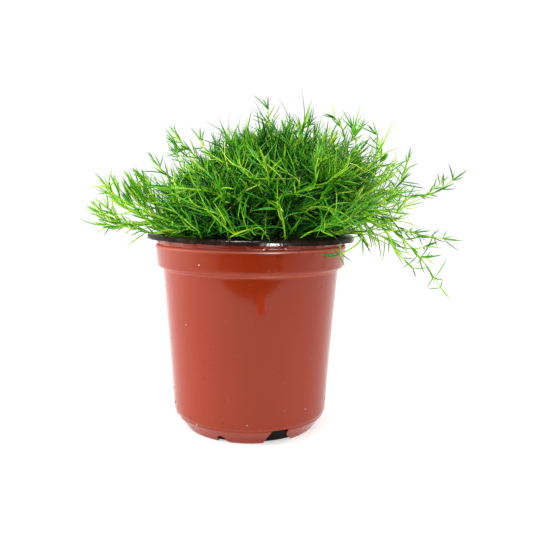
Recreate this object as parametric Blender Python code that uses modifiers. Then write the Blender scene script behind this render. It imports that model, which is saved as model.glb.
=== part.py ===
"""Potted Irish moss: a thin plastic nursery pot, its potting mix and the moss that grows in it.

Metres, +Z up. The origin is the centre of the pot's base, on the surface that it stands on.
The front of the pot faces -Y. A bearing is an angle round the pot from the front, in degrees,
and grows towards +X.
"""

import math
import random

import bmesh
import bpy
from mathutils import Matrix, Vector, noise
from mathutils.bvhtree import BVHTree

MM = 0.001

# Pot, in millimetres: the terracotta face of a vacuum-formed sheet
SHEET = 0.7
LIP_RADIUS = 45.0
LIP_TOP = 84.1
LIP_SKIRT = 2.4
NECK_TOP_RADIUS = 42.1
LEDGE_RADIUS = 41.5
LEDGE_HEIGHT = 79.3
COLLAR_LOW_RADIUS = 40.9
STEP_HEIGHT = 69.4
BODY_TOP_RADIUS = 38.4
GROOVE_RADIUS = 33.35
GROOVE_HEIGHT = 6.8
FOOT_RADIUS = 28.9
CHANNEL_HEIGHT = 3.2
PAD_RADIUS = 13.6
POT_STEPS = 48

# Drain notches, eight of them round the foot, narrow and wide in turn
NOTCH_COUNT = 8
FIRST_NARROW = -22.5
NARROW_WIDTH = 3.8
NARROW_HEIGHT = 3.0
WIDE_HEIGHT = 6.5
WIDE_TOP_WIDTH = 7.7
NOTCH_INNER = 25.5
NOTCH_OUTER = 40.0

# Potting mix and moss, in millimetres
CLEARANCE = 0.35
MIX_TOP = 78.2
MAT_BOTTOM = MIX_TOP + 0.65
MAT_WIDEST = 93.0
MAT_EDGE = 86.4
MAT_TOP = 128.0
MAT_LEAN = 10.0
MAT_REACH = {"front": 42.5, "right": 53.0, "back": 48.0, "left": 48.0}
LUMP_SIZE = 9.0
LUMP_HEIGHT = 4.0

# Shoots, in millimetres
STEM_RADIUS = 0.55
LEAF_RADIUS = 0.36
LEAF_LENGTH = 10.0
NODE_SPACING = 6.0
TIP_LEAVES = 5
SHOOT_CLEARANCE = 1.5
LEAF_CLEARANCE = 0.9
SEED = 11

# The long shoots that give the plant its outline: a stem's points from its foot in the mat to its
# tip, in whole millimetres.
LONG_SHOOTS = {
    "shoot_left_low": ((-34, -4, 90), (-53, -2, 88), (-60, 0, 90), (-67, 2, 93)),
    "shoot_left_middle": ((-33, -18, 90), (-44, -17, 94), (-52, -12, 98), (-60, -9, 103)),
    "shoot_left_fan": ((-36, -6, 95), (-46, -4, 100), (-51, -2, 104), (-54, 0, 109)),
    "shoot_left_high": ((-28, 4, 104), (-37, 6, 109), (-41, 7, 113), (-44, 8, 117)),
    "shoot_left_top": ((-20, 2, 114), (-27, 3, 120), (-31, 4, 124), (-34, 5, 128)),
    "shoot_front_left": ((-3, -26, 108), (-12, -27, 114), (-18, -24, 118), (-21, -21, 124)),
    "shoot_top": ((1, 0, 122), (4, -1, 128), (7, -3, 132), (7, -4, 137)),
    "shoot_top_right": ((20, -2, 122), (22, -2, 128), (23, -2, 132), (24, -2, 135)),
    "shoot_top_far_right": ((42, 4, 118), (41, 3, 126), (39, 2, 131), (36, 2, 135)),
    "shoot_crest_right": ((45, 14, 112), (48, 15, 120), (48, 16, 126), (47, 17, 131)),
    "shoot_right_crown": ((45, -6, 106), (54, -7, 114), (55, -4, 121), (54, -2, 127)),
    "shoot_right_rising": ((50, -14, 99), (60, -12, 104), (64, -10, 110), (66, -9, 117)),
    "shoot_right_far": ((52, 3, 100), (68, 1, 101), (79, 0, 102), (88, 0, 108)),
    "shoot_right_out": ((50, 11, 92), (62, 12, 89), (76, 11, 84), (88, 10, 82)),
    "trailing_shoot_long": ((44, -17, 91), (56, -20, 88), (68, -22, 77), (77, -24, 64)),
    "trailing_shoot_middle": ((42, -22, 93), (52, -29, 88), (56, -32, 80), (63, -34, 73)),
    "shoot_over_rim": ((36, -25, 94), (42, -32, 89), (42, -33, 83), (34, -36, 78)),
}

# The short shoots round the mat: bearing and slope of the first one in a ring, how many the ring
# holds, and how far they stand out.
RINGS = (
    {"name": "shoot_skirt", "count": 9, "bearing": 20.0, "slope": 8.0, "reach": 19.0},
    {"name": "shoot_shoulder", "count": 8, "bearing": 35.0, "slope": 38.0, "reach": 11.0},
    {"name": "shoot_crown", "count": 4, "bearing": 60.0, "slope": 66.0, "reach": 6.5},
)

TERRACOTTA = (0.381, 0.067, 0.035)
PEAT = (0.020, 0.012, 0.008)
MOSS_GREEN = (0.018, 0.110, 0.008)
SHOOT_GREEN = (0.070, 0.260, 0.014)


def clear_scene():
    """Remove whatever the scene holds."""
    for item in list(bpy.data.objects):
        bpy.data.objects.remove(item, do_unlink=True)


def new_collection(name):
    """A collection linked to the scene."""
    group = bpy.data.collections.new(name)
    bpy.context.scene.collection.children.link(group)
    return group


def new_material(name, colour, roughness):
    """A Principled material of one colour."""
    made = bpy.data.materials.new(name)
    made.use_nodes = True
    shader = made.node_tree.nodes["Principled BSDF"]
    shader.inputs["Base Color"].default_value = (*colour, 1.0)
    shader.inputs["Roughness"].default_value = roughness
    shader.inputs["Metallic"].default_value = 0.0
    return made


def new_object(name, mesh, group, material=None):
    """An object for a mesh, in a collection and with its material."""
    made = bpy.data.objects.new(name, mesh)
    group.objects.link(made)
    if material:
        mesh.materials.append(material)
    return made


def cutter_object(name, mesh, group):
    """An object that only cuts or joins others."""
    made = new_object(name, mesh, group)
    made.hide_render = True
    made.display_type = "WIRE"
    return made


def add_boolean(target, operand, operation, use_self=False):
    """A live Boolean modifier on the target."""
    modifier = target.modifiers.new(operation.title(), "BOOLEAN")
    modifier.operation = operation
    modifier.object = operand
    modifier.solver = "EXACT"
    modifier.use_self = use_self


def polar(bearing, radius, height):
    """The point in metres at a bearing, a radius and a height in millimetres."""
    angle = math.radians(bearing)
    return Vector((radius * math.sin(angle), -radius * math.cos(angle), height)) * MM


def arc(centre, radius, start, end, count):
    """Points on an arc in the profile's plane, angles in degrees from +R towards +Z."""
    points = []
    for i in range(count):
        angle = math.radians(start + (end - start) * i / (count - 1))
        points.append((centre[0] + radius * math.cos(angle), centre[1] + radius * math.sin(angle)))
    return points


# Pot

def pot_profile():
    """Radius and height of the terracotta face, from the lip's edge down to the base's centre."""
    bend = 0.6
    flange = LIP_TOP - SHEET
    skirt = LIP_RADIUS - SHEET
    points = [(skirt, LIP_TOP - LIP_SKIRT)]
    points += arc((skirt - bend, flange - bend), bend, 0, 90, 3)
    points += arc((NECK_TOP_RADIUS + bend, flange - bend), bend, 90, 180, 3)
    points += [
        (LEDGE_RADIUS - 0.7, LEDGE_HEIGHT + 0.5),
        (LEDGE_RADIUS, LEDGE_HEIGHT),
        (LEDGE_RADIUS - 0.1, LEDGE_HEIGHT - 0.8),
        (COLLAR_LOW_RADIUS, STEP_HEIGHT + 2.4),
        (COLLAR_LOW_RADIUS - 0.6, STEP_HEIGHT + 1.2),
        (BODY_TOP_RADIUS + 0.2, STEP_HEIGHT + 0.1),
        (BODY_TOP_RADIUS, STEP_HEIGHT - 0.6),
        (GROOVE_RADIUS + 0.45, GROOVE_HEIGHT + 0.5),
        (GROOVE_RADIUS, GROOVE_HEIGHT),
        (GROOVE_RADIUS - 0.1, GROOVE_HEIGHT - 0.7),
        (31.0, 3.0),
        (29.7, 0.9),
        (FOOT_RADIUS, 0.0),
        (FOOT_RADIUS - 1.5, 0.0),
        (FOOT_RADIUS - 2.9, CHANNEL_HEIGHT),
        (PAD_RADIUS + 1.6, CHANNEL_HEIGHT),
        (PAD_RADIUS, 0.0),
        (0.0, 0.0),
    ]
    return points


def narrow_outline():
    """Outline of a narrow notch as tangent offset and height: a round arch with a worn right foot."""
    half = NARROW_WIDTH / 2
    spring = NARROW_HEIGHT - half
    left = [(-half - 0.3, -1.0), (-half - 0.1, 0.2)]
    top = arc((0.0, spring), half, 180, 0, 9)
    right = [(half + 0.5, 0.6), (half + 1.4, 0.0), (half + 1.6, -1.0)]
    return left + top + right


def wide_outline():
    """Outline of a wide notch: a sloped left side, a flat top under the groove, a hollow right."""
    half = WIDE_TOP_WIDTH / 2
    left = [(-half - 2.4, -1.0), (-half - 2.0, 0.1), (-half - 0.2, WIDE_HEIGHT - 0.4)]
    top = [(-half + 0.3, WIDE_HEIGHT), (half - 0.7, WIDE_HEIGHT)]
    hollow = arc((half + 3.3, WIDE_HEIGHT - 1.7), 3.8, 165, 250, 6)
    return left + top + hollow + [(half + 3.0, 0.0), (half + 3.4, -1.0)]


def notch_cutter(name, outline, bearing, group):
    """A flat outline made a prism along the pot's radius, through the foot at a bearing."""
    curve = bpy.data.curves.new(name, "CURVE")
    curve.dimensions = "2D"
    curve.fill_mode = "BOTH"
    curve.extrude = (NOTCH_OUTER - NOTCH_INNER) / 2 * MM
    spline = curve.splines.new("POLY")
    spline.points.add(len(outline) - 1)
    for point, (across, up) in zip(spline.points, outline):
        point.co = (across * MM, up * MM, 0.0, 1.0)
    spline.use_cyclic_u = True
    guide = new_object(name + "_outline", curve, group)
    guide.matrix_world = (
        Matrix.Rotation(math.radians(bearing), 4, "Z")
        @ Matrix.Translation((0.0, -(NOTCH_OUTER + NOTCH_INNER) / 2 * MM, 0.0))
        @ Matrix.Rotation(math.radians(90), 4, "X")
    )
    return curve_to_cutter(guide, name, group)


def curve_to_cutter(guide, name, group):
    """The curve object as a closed mesh object, with the curve removed."""
    bpy.context.view_layer.update()
    evaluated = guide.evaluated_get(bpy.context.evaluated_depsgraph_get())
    mesh = bpy.data.meshes.new_from_object(evaluated)
    mesh.transform(guide.matrix_world)
    weld(mesh)
    bpy.data.objects.remove(guide, do_unlink=True)
    return cutter_object(name, mesh, group)


def weld(mesh):
    """Merge doubled points and point the faces outwards."""
    bm = bmesh.new()
    bm.from_mesh(mesh)
    bmesh.ops.remove_doubles(bm, verts=bm.verts, dist=0.000005)
    bmesh.ops.recalc_face_normals(bm, faces=bm.faces)
    bm.to_mesh(mesh)
    bm.free()


def build_pot(group, cutters):
    """The pot: its profile turned about Z, given its sheet's thickness, and notched at the foot."""
    bm = bmesh.new()
    verts = [bm.verts.new((r * MM, 0.0, z * MM)) for r, z in pot_profile()]
    for first, second in zip(verts, verts[1:]):
        bm.edges.new((first, second))
    mesh = bpy.data.meshes.new("pot")
    bm.to_mesh(mesh)
    bm.free()
    pot = new_object("pot", mesh, group, new_material("terracotta_plastic", TERRACOTTA, 0.35))
    screw = pot.modifiers.new("Turn", "SCREW")
    screw.steps = POT_STEPS
    screw.render_steps = POT_STEPS
    screw.use_merge_vertices = True
    screw.merge_threshold = 0.00001
    wall = pot.modifiers.new("Sheet", "SOLIDIFY")
    wall.thickness = SHEET * MM
    wall.offset = -1.0
    wall.use_even_offset = True
    for i in range(NOTCH_COUNT):
        narrow = i % 2 == 0
        outline = narrow_outline() if narrow else wide_outline()
        bearing = FIRST_NARROW + i * 360.0 / NOTCH_COUNT
        cutter = notch_cutter(f"notch_cutter_{i + 1}", outline, bearing, cutters)
        add_boolean(pot, cutter, "DIFFERENCE")
    return pot


# Potting mix and moss mat

def turned_lump(name, profile, side_steps, place):
    """A closed turned body: a sphere whose rings move onto a profile's points, top to bottom.

    place takes a bearing, a radius and a height, and gives the point in metres.
    """
    rings = len(profile) - 1
    bm = bmesh.new()
    bmesh.ops.create_uvsphere(bm, u_segments=side_steps, v_segments=rings, radius=1.0)
    for vert in bm.verts:
        ring = round(math.acos(max(-1.0, min(1.0, vert.co.z))) / math.pi * rings)
        bearing = math.degrees(math.atan2(vert.co.x, -vert.co.y))
        vert.co = place(bearing, *profile[ring])
    bmesh.ops.recalc_face_normals(bm, faces=bm.faces)
    mesh = bpy.data.meshes.new(name)
    bm.to_mesh(mesh)
    bm.free()
    return mesh


def mix_profile():
    """Radius and height of the potting mix, which fills the pot to just under its neck."""
    inset = SHEET + CLEARANCE
    return [
        (0.0, MIX_TOP),
        (9.0, MIX_TOP),
        (18.0, MIX_TOP - 0.1),
        (27.0, MIX_TOP - 0.3),
        (34.0, MIX_TOP - 0.6),
        (COLLAR_LOW_RADIUS - inset - 0.6, MIX_TOP - 1.4),
        (COLLAR_LOW_RADIUS - inset - 0.4, STEP_HEIGHT + 3.2),
        (BODY_TOP_RADIUS - inset - 0.4, STEP_HEIGHT + 0.6),
        (GROOVE_RADIUS - inset, GROOVE_HEIGHT + 1.4),
        (29.4, CHANNEL_HEIGHT + SHEET + CLEARANCE),
        (PAD_RADIUS + 1.2, CHANNEL_HEIGHT + SHEET + CLEARANCE),
        (PAD_RADIUS - 1.4, SHEET + CLEARANCE),
        (0.0, SHEET + CLEARANCE),
    ]


def place_mix(bearing, radius, height):
    """A point of the potting mix, with crumbs raised on its top."""
    point = polar(bearing, radius, height)
    if height > MIX_TOP - 1.0:
        point.z += 0.5 * MM * noise.noise(point / (7.0 * MM))
    return point


def reach_at(bearing):
    """How far the mat spreads at a bearing, eased between its four sides."""
    side = math.sin(math.radians(bearing))
    ahead = math.cos(math.radians(bearing))
    across = MAT_REACH["right"] if side > 0 else MAT_REACH["left"]
    along = MAT_REACH["front"] if ahead > 0 else MAT_REACH["back"]
    return across * side * side + along * ahead * ahead


def mat_profile():
    """Share of the mat's reach, and height, from the top of the mat down to its seat on the mix."""
    rise = MAT_TOP - MAT_WIDEST
    dome = []
    for share in (0.0, 0.13, 0.26, 0.38, 0.49, 0.6, 0.7, 0.79, 0.87, 0.93, 0.98):
        dome.append((share, MAT_WIDEST + rise * (1.0 - share ** 2.4) ** 0.62))
    return dome + [(1.0, MAT_WIDEST), (0.98, MAT_WIDEST - 4.0), (0.9, MAT_EDGE)]


def seat_profile():
    """Radius and height of the mat's underside, inside the pot's neck."""
    neck = NECK_TOP_RADIUS - SHEET - 3.0
    return [
        (neck + 0.9, MAT_EDGE - 0.8),
        (neck, LIP_TOP - 1.1),
        (neck - 0.6, MAT_BOTTOM + 0.3),
        (24.0, MAT_BOTTOM),
        (0.0, MAT_BOTTOM),
    ]


def place_mat(bearing, radius, height):
    """A point of the mat, which leans to the right as it rises and has lumps above the rim."""
    if height >= MAT_EDGE:
        radius *= reach_at(bearing)
    point = polar(bearing, radius, height)
    free = max(0.0, min(1.0, (height - MAT_EDGE - 1.6) / 8.0))
    point.x += MAT_LEAN * MM * max(0.0, (height - MAT_EDGE) / (MAT_TOP - MAT_EDGE))
    outward = Vector((point.x, point.y, point.z - MAT_EDGE * MM)).normalized()
    return point + outward * (LUMP_HEIGHT * MM * free * noise.noise(point / (LUMP_SIZE * MM)))


# Shoots

def smooth_route(points, count):
    """Even steps along a smooth curve through the points."""
    padded = [2 * points[0] - points[1], *points, 2 * points[-1] - points[-2]]
    dense = []
    for i in range(1, len(padded) - 2):
        a, b, c, d = padded[i - 1 : i + 3]
        for step in range(12):
            t = step / 12
            square = (2 * a - 5 * b + 4 * c - d) * t * t
            cube = (3 * b - a - 3 * c + d) * t ** 3
            dense.append(0.5 * (2 * b + (c - a) * t + square + cube))
    dense.append(points[-1])
    lengths = [0.0]
    for first, second in zip(dense, dense[1:]):
        lengths.append(lengths[-1] + (second - first).length)
    route = []
    place = 0
    for i in range(count):
        target = lengths[-1] * i / (count - 1)
        while place < len(lengths) - 2 and lengths[place + 1] < target:
            place += 1
        share = (target - lengths[place]) / (lengths[place + 1] - lengths[place])
        route.append(dense[place].lerp(dense[place + 1], min(1.0, share)))
    return route


class Moss:
    """Grows shoots on the mat, and keeps each one clear of the mat, the pot and the others."""

    def __init__(self, mat, group, cutters, material):
        self.group = group
        self.cutters = cutters
        self.material = material
        self.random = random.Random(SEED)
        self.taken = []
        bm = bmesh.new()
        bm.from_mesh(mat.data)
        self.tree = BVHTree.FromBMesh(bm)
        bm.normal_update()
        shifts = [vert.normal * CLEARANCE * MM for vert in bm.verts]
        for vert, shift in zip(bm.verts, shifts):
            vert.co += shift
        mesh = bpy.data.meshes.new("mat_cutter")
        bm.to_mesh(mesh)
        bm.free()
        self.mat_cutter = cutter_object("mat_cutter", mesh, cutters)

    def depth(self, point):
        """How far a point lies outside the mat, in millimetres, less than 0 inside it."""
        near, normal, _, distance = self.tree.find_nearest(point)
        side = 1.0 if (point - near).dot(normal) > 0 else -1.0
        return side * distance / MM

    def off_pot(self, point):
        """Whether a point keeps clear of the pot's outside."""
        radius = math.hypot(point.x, point.y) / MM
        height = point.z / MM
        if height > LIP_TOP + 1.0:
            return True
        at_lip = height > LIP_TOP - LIP_SKIRT - 1.0
        return radius > (LIP_RADIUS if at_lip else LEDGE_RADIUS) + LEAF_CLEARANCE

    def is_free(self, points):
        """Whether the points keep clear of every earlier shoot."""
        gap = SHOOT_CLEARANCE * MM
        return all((point - other).length > gap for point in points for other in self.taken)

    def outer_run(self, route):
        """The route's points outside the mat, or None if it dips back or meets something."""
        outside = [self.depth(point) > 0.0 for point in route]
        if outside[0] or not any(outside):
            return None
        first = outside.index(True)
        run = route[first:]
        clear = all(outside[first:]) and all(self.depth(point) > LEAF_CLEARANCE for point in run[2:])
        if clear and all(self.off_pot(point) for point in run) and self.is_free(run):
            return run
        return None

    def leaf_matrix(self, root, direction, length):
        """Where a leaf's cone stands: its base at the root, pointing along the direction."""
        turn = direction.to_track_quat("Z", "Y").to_matrix().to_4x4()
        return Matrix.Translation(root + direction * (length / 2)) @ turn

    def try_leaf(self, bm, root, direction, length):
        """Add one pointed leaf, if it keeps clear of the mat, the pot and the other shoots."""
        samples = [root + direction * (length * share) for share in (0.2, 0.35, 0.5, 0.65, 0.8, 1.0)]
        for point in samples:
            if self.depth(point) < LEAF_CLEARANCE or not self.off_pot(point):
                return []
        if not self.is_free(samples):
            return []
        bmesh.ops.create_cone(
            bm,
            cap_ends=True,
            segments=4,
            radius1=LEAF_RADIUS * MM,
            radius2=0.0,
            depth=length,
            matrix=self.leaf_matrix(root, direction, length),
        )
        return samples

    def leaf_directions(self, along, count, spread):
        """Directions round a stem, leaning forward along it by the spread angle."""
        side = along.orthogonal().normalized()
        start = self.random.uniform(0.0, math.tau)
        directions = []
        for i in range(count):
            turn = Matrix.Rotation(start + math.tau * i / count, 3, along)
            lean = math.radians(spread + self.random.uniform(-8.0, 8.0))
            directions.append((turn @ side) * math.sin(lean) + along * math.cos(lean))
        return directions

    def grow(self, name, points, steps=26):
        """One shoot: a stem with pairs of leaves at its nodes and a tuft at its tip.

        Gives the new object, or None where the stem has no clear way.
        """
        route = smooth_route(points, steps)
        run = self.outer_run(route)
        if run is None:
            return None
        step = (route[1] - route[0]).length
        bm = bmesh.new()
        taken = list(run)
        spacing = max(2, round(NODE_SPACING * MM / step))
        node = len(run) - 1
        while node > max(1, round(4.0 * MM / step)):
            along = (run[node] - run[node - 1]).normalized()
            at_tip = node == len(run) - 1
            count = TIP_LEAVES if at_tip else 2
            spread = 32.0 if at_tip else 48.0
            for i, direction in enumerate(self.leaf_directions(along, count, spread)):
                length = LEAF_LENGTH * self.random.uniform(0.75, 1.15) * MM
                root = run[node] - along * (0.5 * i + 0.3) * MM
                taken += self.try_leaf(bm, root, direction, length)
            node -= spacing
        leaves = bpy.data.meshes.new(name + "_leaves")
        bm.to_mesh(leaves)
        bm.free()
        self.taken += taken
        return self.join(name, route, cutter_object(name + "_leaves", leaves, self.cutters))

    def join(self, name, route, leaves):
        """The stem as a tube, joined with its leaves and trimmed where it leaves the mat."""
        curve = bpy.data.curves.new(name, "CURVE")
        curve.dimensions = "3D"
        curve.bevel_depth = STEM_RADIUS * MM
        curve.bevel_resolution = 0
        curve.use_fill_caps = True
        spline = curve.splines.new("POLY")
        shown = route[::4] + ([] if (len(route) - 1) % 4 == 0 else [route[-1]])
        spline.points.add(len(shown) - 1)
        for point, place in zip(spline.points, shown):
            point.co = (*place, 1.0)
        guide = new_object(name + "_route", curve, self.cutters)
        bpy.context.view_layer.update()
        evaluated = guide.evaluated_get(bpy.context.evaluated_depsgraph_get())
        mesh = bpy.data.meshes.new_from_object(evaluated)
        bpy.data.objects.remove(guide, do_unlink=True)
        weld(mesh)
        shoot = new_object(name, mesh, self.group, self.material)
        add_boolean(shoot, leaves, "UNION", use_self=True)
        add_boolean(shoot, self.mat_cutter, "DIFFERENCE")
        return shoot


def ring_shoot(moss, ring, turn):
    """Points of a short shoot in a ring: out of the mat at a bearing and slope, then curving up."""
    bearing = ring["bearing"] + 360.0 * turn / ring["count"] + moss.random.uniform(-9.0, 9.0)
    slope = ring["slope"] + moss.random.uniform(-7.0, 7.0)
    flat = polar(bearing, 1.0, 0.0) / MM
    out = flat * math.cos(math.radians(slope)) + Vector((0, 0, 1)) * math.sin(math.radians(slope))
    centre = Vector((6.0, 0.0, 92.0)) * MM
    surface, _, _, _ = moss.tree.ray_cast(centre + out * 0.2, -out)
    if surface is None:
        return None
    reach = ring["reach"] * moss.random.uniform(0.8, 1.2) * MM
    sideways = flat.cross(Vector((0, 0, 1))) * moss.random.uniform(-0.4, 0.4)
    foot = surface - out * 5.0 * MM
    middle = surface + (out + sideways * 0.4) * reach * 0.5
    tip = surface + (out + sideways) * reach + Vector((0, 0, 1)) * reach * 0.25
    return [foot, middle, tip]


def grow_ring(moss, ring):
    """The ring's short shoots, each placed where it has a clear way."""
    for turn in range(ring["count"]):
        for _ in range(12):
            points = ring_shoot(moss, ring, turn)
            if points and moss.grow(f"{ring['name']}_{turn + 1}", points, steps=17):
                break
        else:
            print(f"{ring['name']}_{turn + 1} has no clear way")


def main():
    """Build the pot, the potting mix and the moss."""
    clear_scene()
    group = new_collection("potted_irish_moss")
    cutters = new_collection("cutters")
    build_pot(group, cutters)
    mix = turned_lump("potting_mix", mix_profile(), 32, place_mix)
    new_object("potting_mix", mix, group, new_material("peat", PEAT, 0.95))
    mat_mesh = turned_lump("moss_mat", mat_profile() + seat_profile(), 44, place_mat)
    mat = new_object("moss_mat", mat_mesh, group, new_material("moss_green", MOSS_GREEN, 0.6))
    moss = Moss(mat, group, cutters, new_material("shoot_green", SHOOT_GREEN, 0.5))
    for name, points in LONG_SHOOTS.items():
        if not moss.grow(name, [Vector(point) * MM for point in points]):
            print(f"{name} has no clear way")
    for ring in RINGS:
        grow_ring(moss, ring)


main()
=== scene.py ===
"""Potted Irish moss: a thin vacuum-formed nursery pot with a dense, needle-leaved cushion of moss."""

import logging
import math
from dataclasses import dataclass, field
from enum import Enum

import bpy
import numpy as np
from mathutils import Matrix, Vector


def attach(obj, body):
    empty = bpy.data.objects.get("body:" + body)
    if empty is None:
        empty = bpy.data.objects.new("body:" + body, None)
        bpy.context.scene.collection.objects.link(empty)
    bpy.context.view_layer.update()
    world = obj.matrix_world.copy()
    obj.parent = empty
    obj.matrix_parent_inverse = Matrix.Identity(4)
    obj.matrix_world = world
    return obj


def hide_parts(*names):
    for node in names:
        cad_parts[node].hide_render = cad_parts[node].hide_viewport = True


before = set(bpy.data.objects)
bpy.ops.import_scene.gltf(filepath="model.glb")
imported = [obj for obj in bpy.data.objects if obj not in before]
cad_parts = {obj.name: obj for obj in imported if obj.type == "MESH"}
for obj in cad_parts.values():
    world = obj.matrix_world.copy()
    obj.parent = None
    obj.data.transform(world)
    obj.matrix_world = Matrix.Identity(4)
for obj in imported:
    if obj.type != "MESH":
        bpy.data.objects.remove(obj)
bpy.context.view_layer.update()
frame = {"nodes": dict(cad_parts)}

MM = 0.001
BAKE_MAP = "OFBake"
log = logging.getLogger("potted_irish_moss")


# Colour, nodes and noise


def linear(code: str) -> tuple[float, float, float, float]:
    """Turn an sRGB hex code into linear red, green, blue and alpha.

    Args:
        code: Six hex digits, as in "a54834".

    Returns:
        The linear colour, opaque.
    """
    srgb = [int(code[i : i + 2], 16) / 255 for i in (0, 2, 4)]
    return (*(c / 12.92 if c <= 0.04045 else ((c + 0.055) / 1.055) ** 2.4 for c in srgb), 1.0)


def add_node(
    tree: bpy.types.NodeTree,
    kind: str,
    settings: dict[str, object] | None = None,
    values: dict[int | str, object] | None = None,
    links: dict[int | str, bpy.types.NodeSocket] | None = None,
    stops: tuple[tuple[float, str], ...] = (),
) -> bpy.types.Node:
    """Add one shader node with its settings, constant inputs and incoming links.

    Args:
        tree: The node tree that takes the node.
        kind: The node's type, without the leading "ShaderNode".
        settings: The node's own properties by name.
        values: Constant values by input name or number.
        links: Output sockets by the input name or number that they feed.
        stops: Place and hex colour of each stop in rising order, for a node with a colour ramp.

    Returns:
        The new node.
    """
    node = tree.nodes.new("ShaderNode" + kind)
    for name, value in (settings or {}).items():
        setattr(node, name, value)
    for name, value in (values or {}).items():
        node.inputs[name].default_value = value
    for name, socket in (links or {}).items():
        tree.links.new(socket, node.inputs[name])
    for number, (place, code) in enumerate(stops):
        elements = node.color_ramp.elements
        element = elements[number] if number < 2 else elements.new(place)
        element.position = place
        element.color = linear(code)
    return node


def cell_values(cells: np.ndarray, seed: int) -> np.ndarray:
    """Give each whole-numbered lattice cell a fixed value from -1 to 1, by mixing its bits.

    Args:
        cells: Whole numbers, three in the last axis.
        seed: Picks another set of values.

    Returns:
        One value for each cell.
    """
    mask = np.int64(0xFFFFFFFF)
    mixed = (
        cells[..., 0] * 73856093 ^ cells[..., 1] * 19349663 ^ cells[..., 2] * 83492791 ^ seed * 2654435761
    ) & mask
    mixed = ((mixed ^ (mixed >> 13)) * 1274126177) & mask
    mixed = ((mixed ^ (mixed >> 15)) * 2246822519) & mask
    return (mixed ^ (mixed >> 16)) / float(mask) * 2.0 - 1.0


def smooth_noise(points: np.ndarray, size: float, seed: int = 0) -> np.ndarray:
    """Smooth noise from -1 to 1: lattice values blended by 3t^2 - 2t^3 along each axis.

    Args:
        points: Places, three numbers in the last axis.
        size: The lattice spacing, in the unit of the points.
        seed: Picks another pattern.

    Returns:
        One value for each point.
    """
    scaled = points / size
    cells = np.floor(scaled).astype(np.int64)
    share = scaled - cells
    share = share * share * (3.0 - 2.0 * share)
    total = np.zeros(points.shape[:-1])
    for corner in np.ndindex(2, 2, 2):
        step = np.array(corner)
        weight = np.prod(np.where(step == 1, share, 1.0 - share), axis=-1)
        total += weight * cell_values(cells + step, seed)
    return total


def unit(vectors: np.ndarray) -> np.ndarray:
    """Scale vectors in the last axis to length 1."""
    return vectors / np.maximum(np.linalg.norm(vectors, axis=-1, keepdims=True), 1e-9)


def step_between(values: np.ndarray, low: float, high: float) -> np.ndarray:
    """Rise smoothly from 0 at low to 1 at high, by 3t^2 - 2t^3."""
    share = np.clip((values - low) / (high - low), 0.0, 1.0)
    return share * share * (3.0 - 2.0 * share)


def arc(
    centre: tuple[float, float], radius: float, start: float, end: float, count: int
) -> list[tuple[float, float]]:
    """Points along a circular arc, with angles in degrees from +R towards +Z."""
    angles = np.radians(np.linspace(start, end, count))
    return [(centre[0] + radius * math.cos(a), centre[1] + radius * math.sin(a)) for a in angles]


# Surfaces


@dataclass
class Surface:
    """Vertices, faces and map corners gathered as whole arrays for one piece, in millimetres."""

    points: list[np.ndarray] = field(default_factory=list)
    faces: list[np.ndarray] = field(default_factory=list)
    maps: list[np.ndarray] = field(default_factory=list)
    finishes: list[np.ndarray] = field(default_factory=list)
    count: int = 0

    def add_points(self, points: np.ndarray) -> int:
        """Add vertices, and give the number of the first."""
        first = self.count
        flat = points.reshape(-1, 3)
        self.points.append(flat)
        self.count += len(flat)
        return first

    def add_faces(self, faces: np.ndarray, corners: np.ndarray | None = None, finish: int = 0) -> None:
        """Add faces of one size.

        Args:
            faces: Vertex numbers, one row a face.
            corners: The map's place for each corner, or None for a piece without a map.
            finish: The material slot of these faces.
        """
        self.faces.append(faces)
        self.maps.append(np.zeros((*faces.shape, 2)) if corners is None else corners)
        self.finishes.append(np.full(len(faces), finish, dtype=np.int32))

    def build(
        self,
        name: str,
        materials: list[bpy.types.Material],
        mapped: bool = False,
        sharp_from: float | None = None,
    ) -> bpy.types.Object:
        """Make the object from the gathered arrays.

        Args:
            name: The object's name.
            materials: Its material slots.
            mapped: Whether the gathered corners become its UV map.
            sharp_from: The edge angle in degrees from which edges stay sharp.

        Returns:
            The object, at the origin, with its place in its mesh.
        """
        mesh = bpy.data.meshes.new(name)
        points = np.concatenate(self.points).astype(np.float32) * MM
        loops = np.concatenate([face.ravel() for face in self.faces]).astype(np.int32)
        sizes = np.concatenate([np.full(len(f), f.shape[1], dtype=np.int32) for f in self.faces])
        mesh.vertices.add(len(points))
        mesh.vertices.foreach_set("co", points.ravel())
        mesh.loops.add(len(loops))
        mesh.loops.foreach_set("vertex_index", loops)
        mesh.polygons.add(len(sizes))
        mesh.polygons.foreach_set("loop_start", np.concatenate([[0], np.cumsum(sizes)[:-1]]).astype(np.int32))
        mesh.polygons.foreach_set("material_index", np.concatenate(self.finishes))
        if mapped:
            corners = np.concatenate([m.reshape(-1, 2) for m in self.maps]).astype(np.float32)
            layer = mesh.uv_layers.new(name=BAKE_MAP)
            layer.uv.foreach_set("vector", corners.ravel())
        mesh.update(calc_edges=True)
        mesh.validate()
        for material in materials:
            mesh.materials.append(material)
        mesh.shade_smooth()
        if sharp_from is not None:
            mesh.set_sharp_from_angle(angle=math.radians(sharp_from))
        made = bpy.data.objects.new(name, mesh)
        bpy.context.scene.collection.objects.link(made)
        return made


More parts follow.
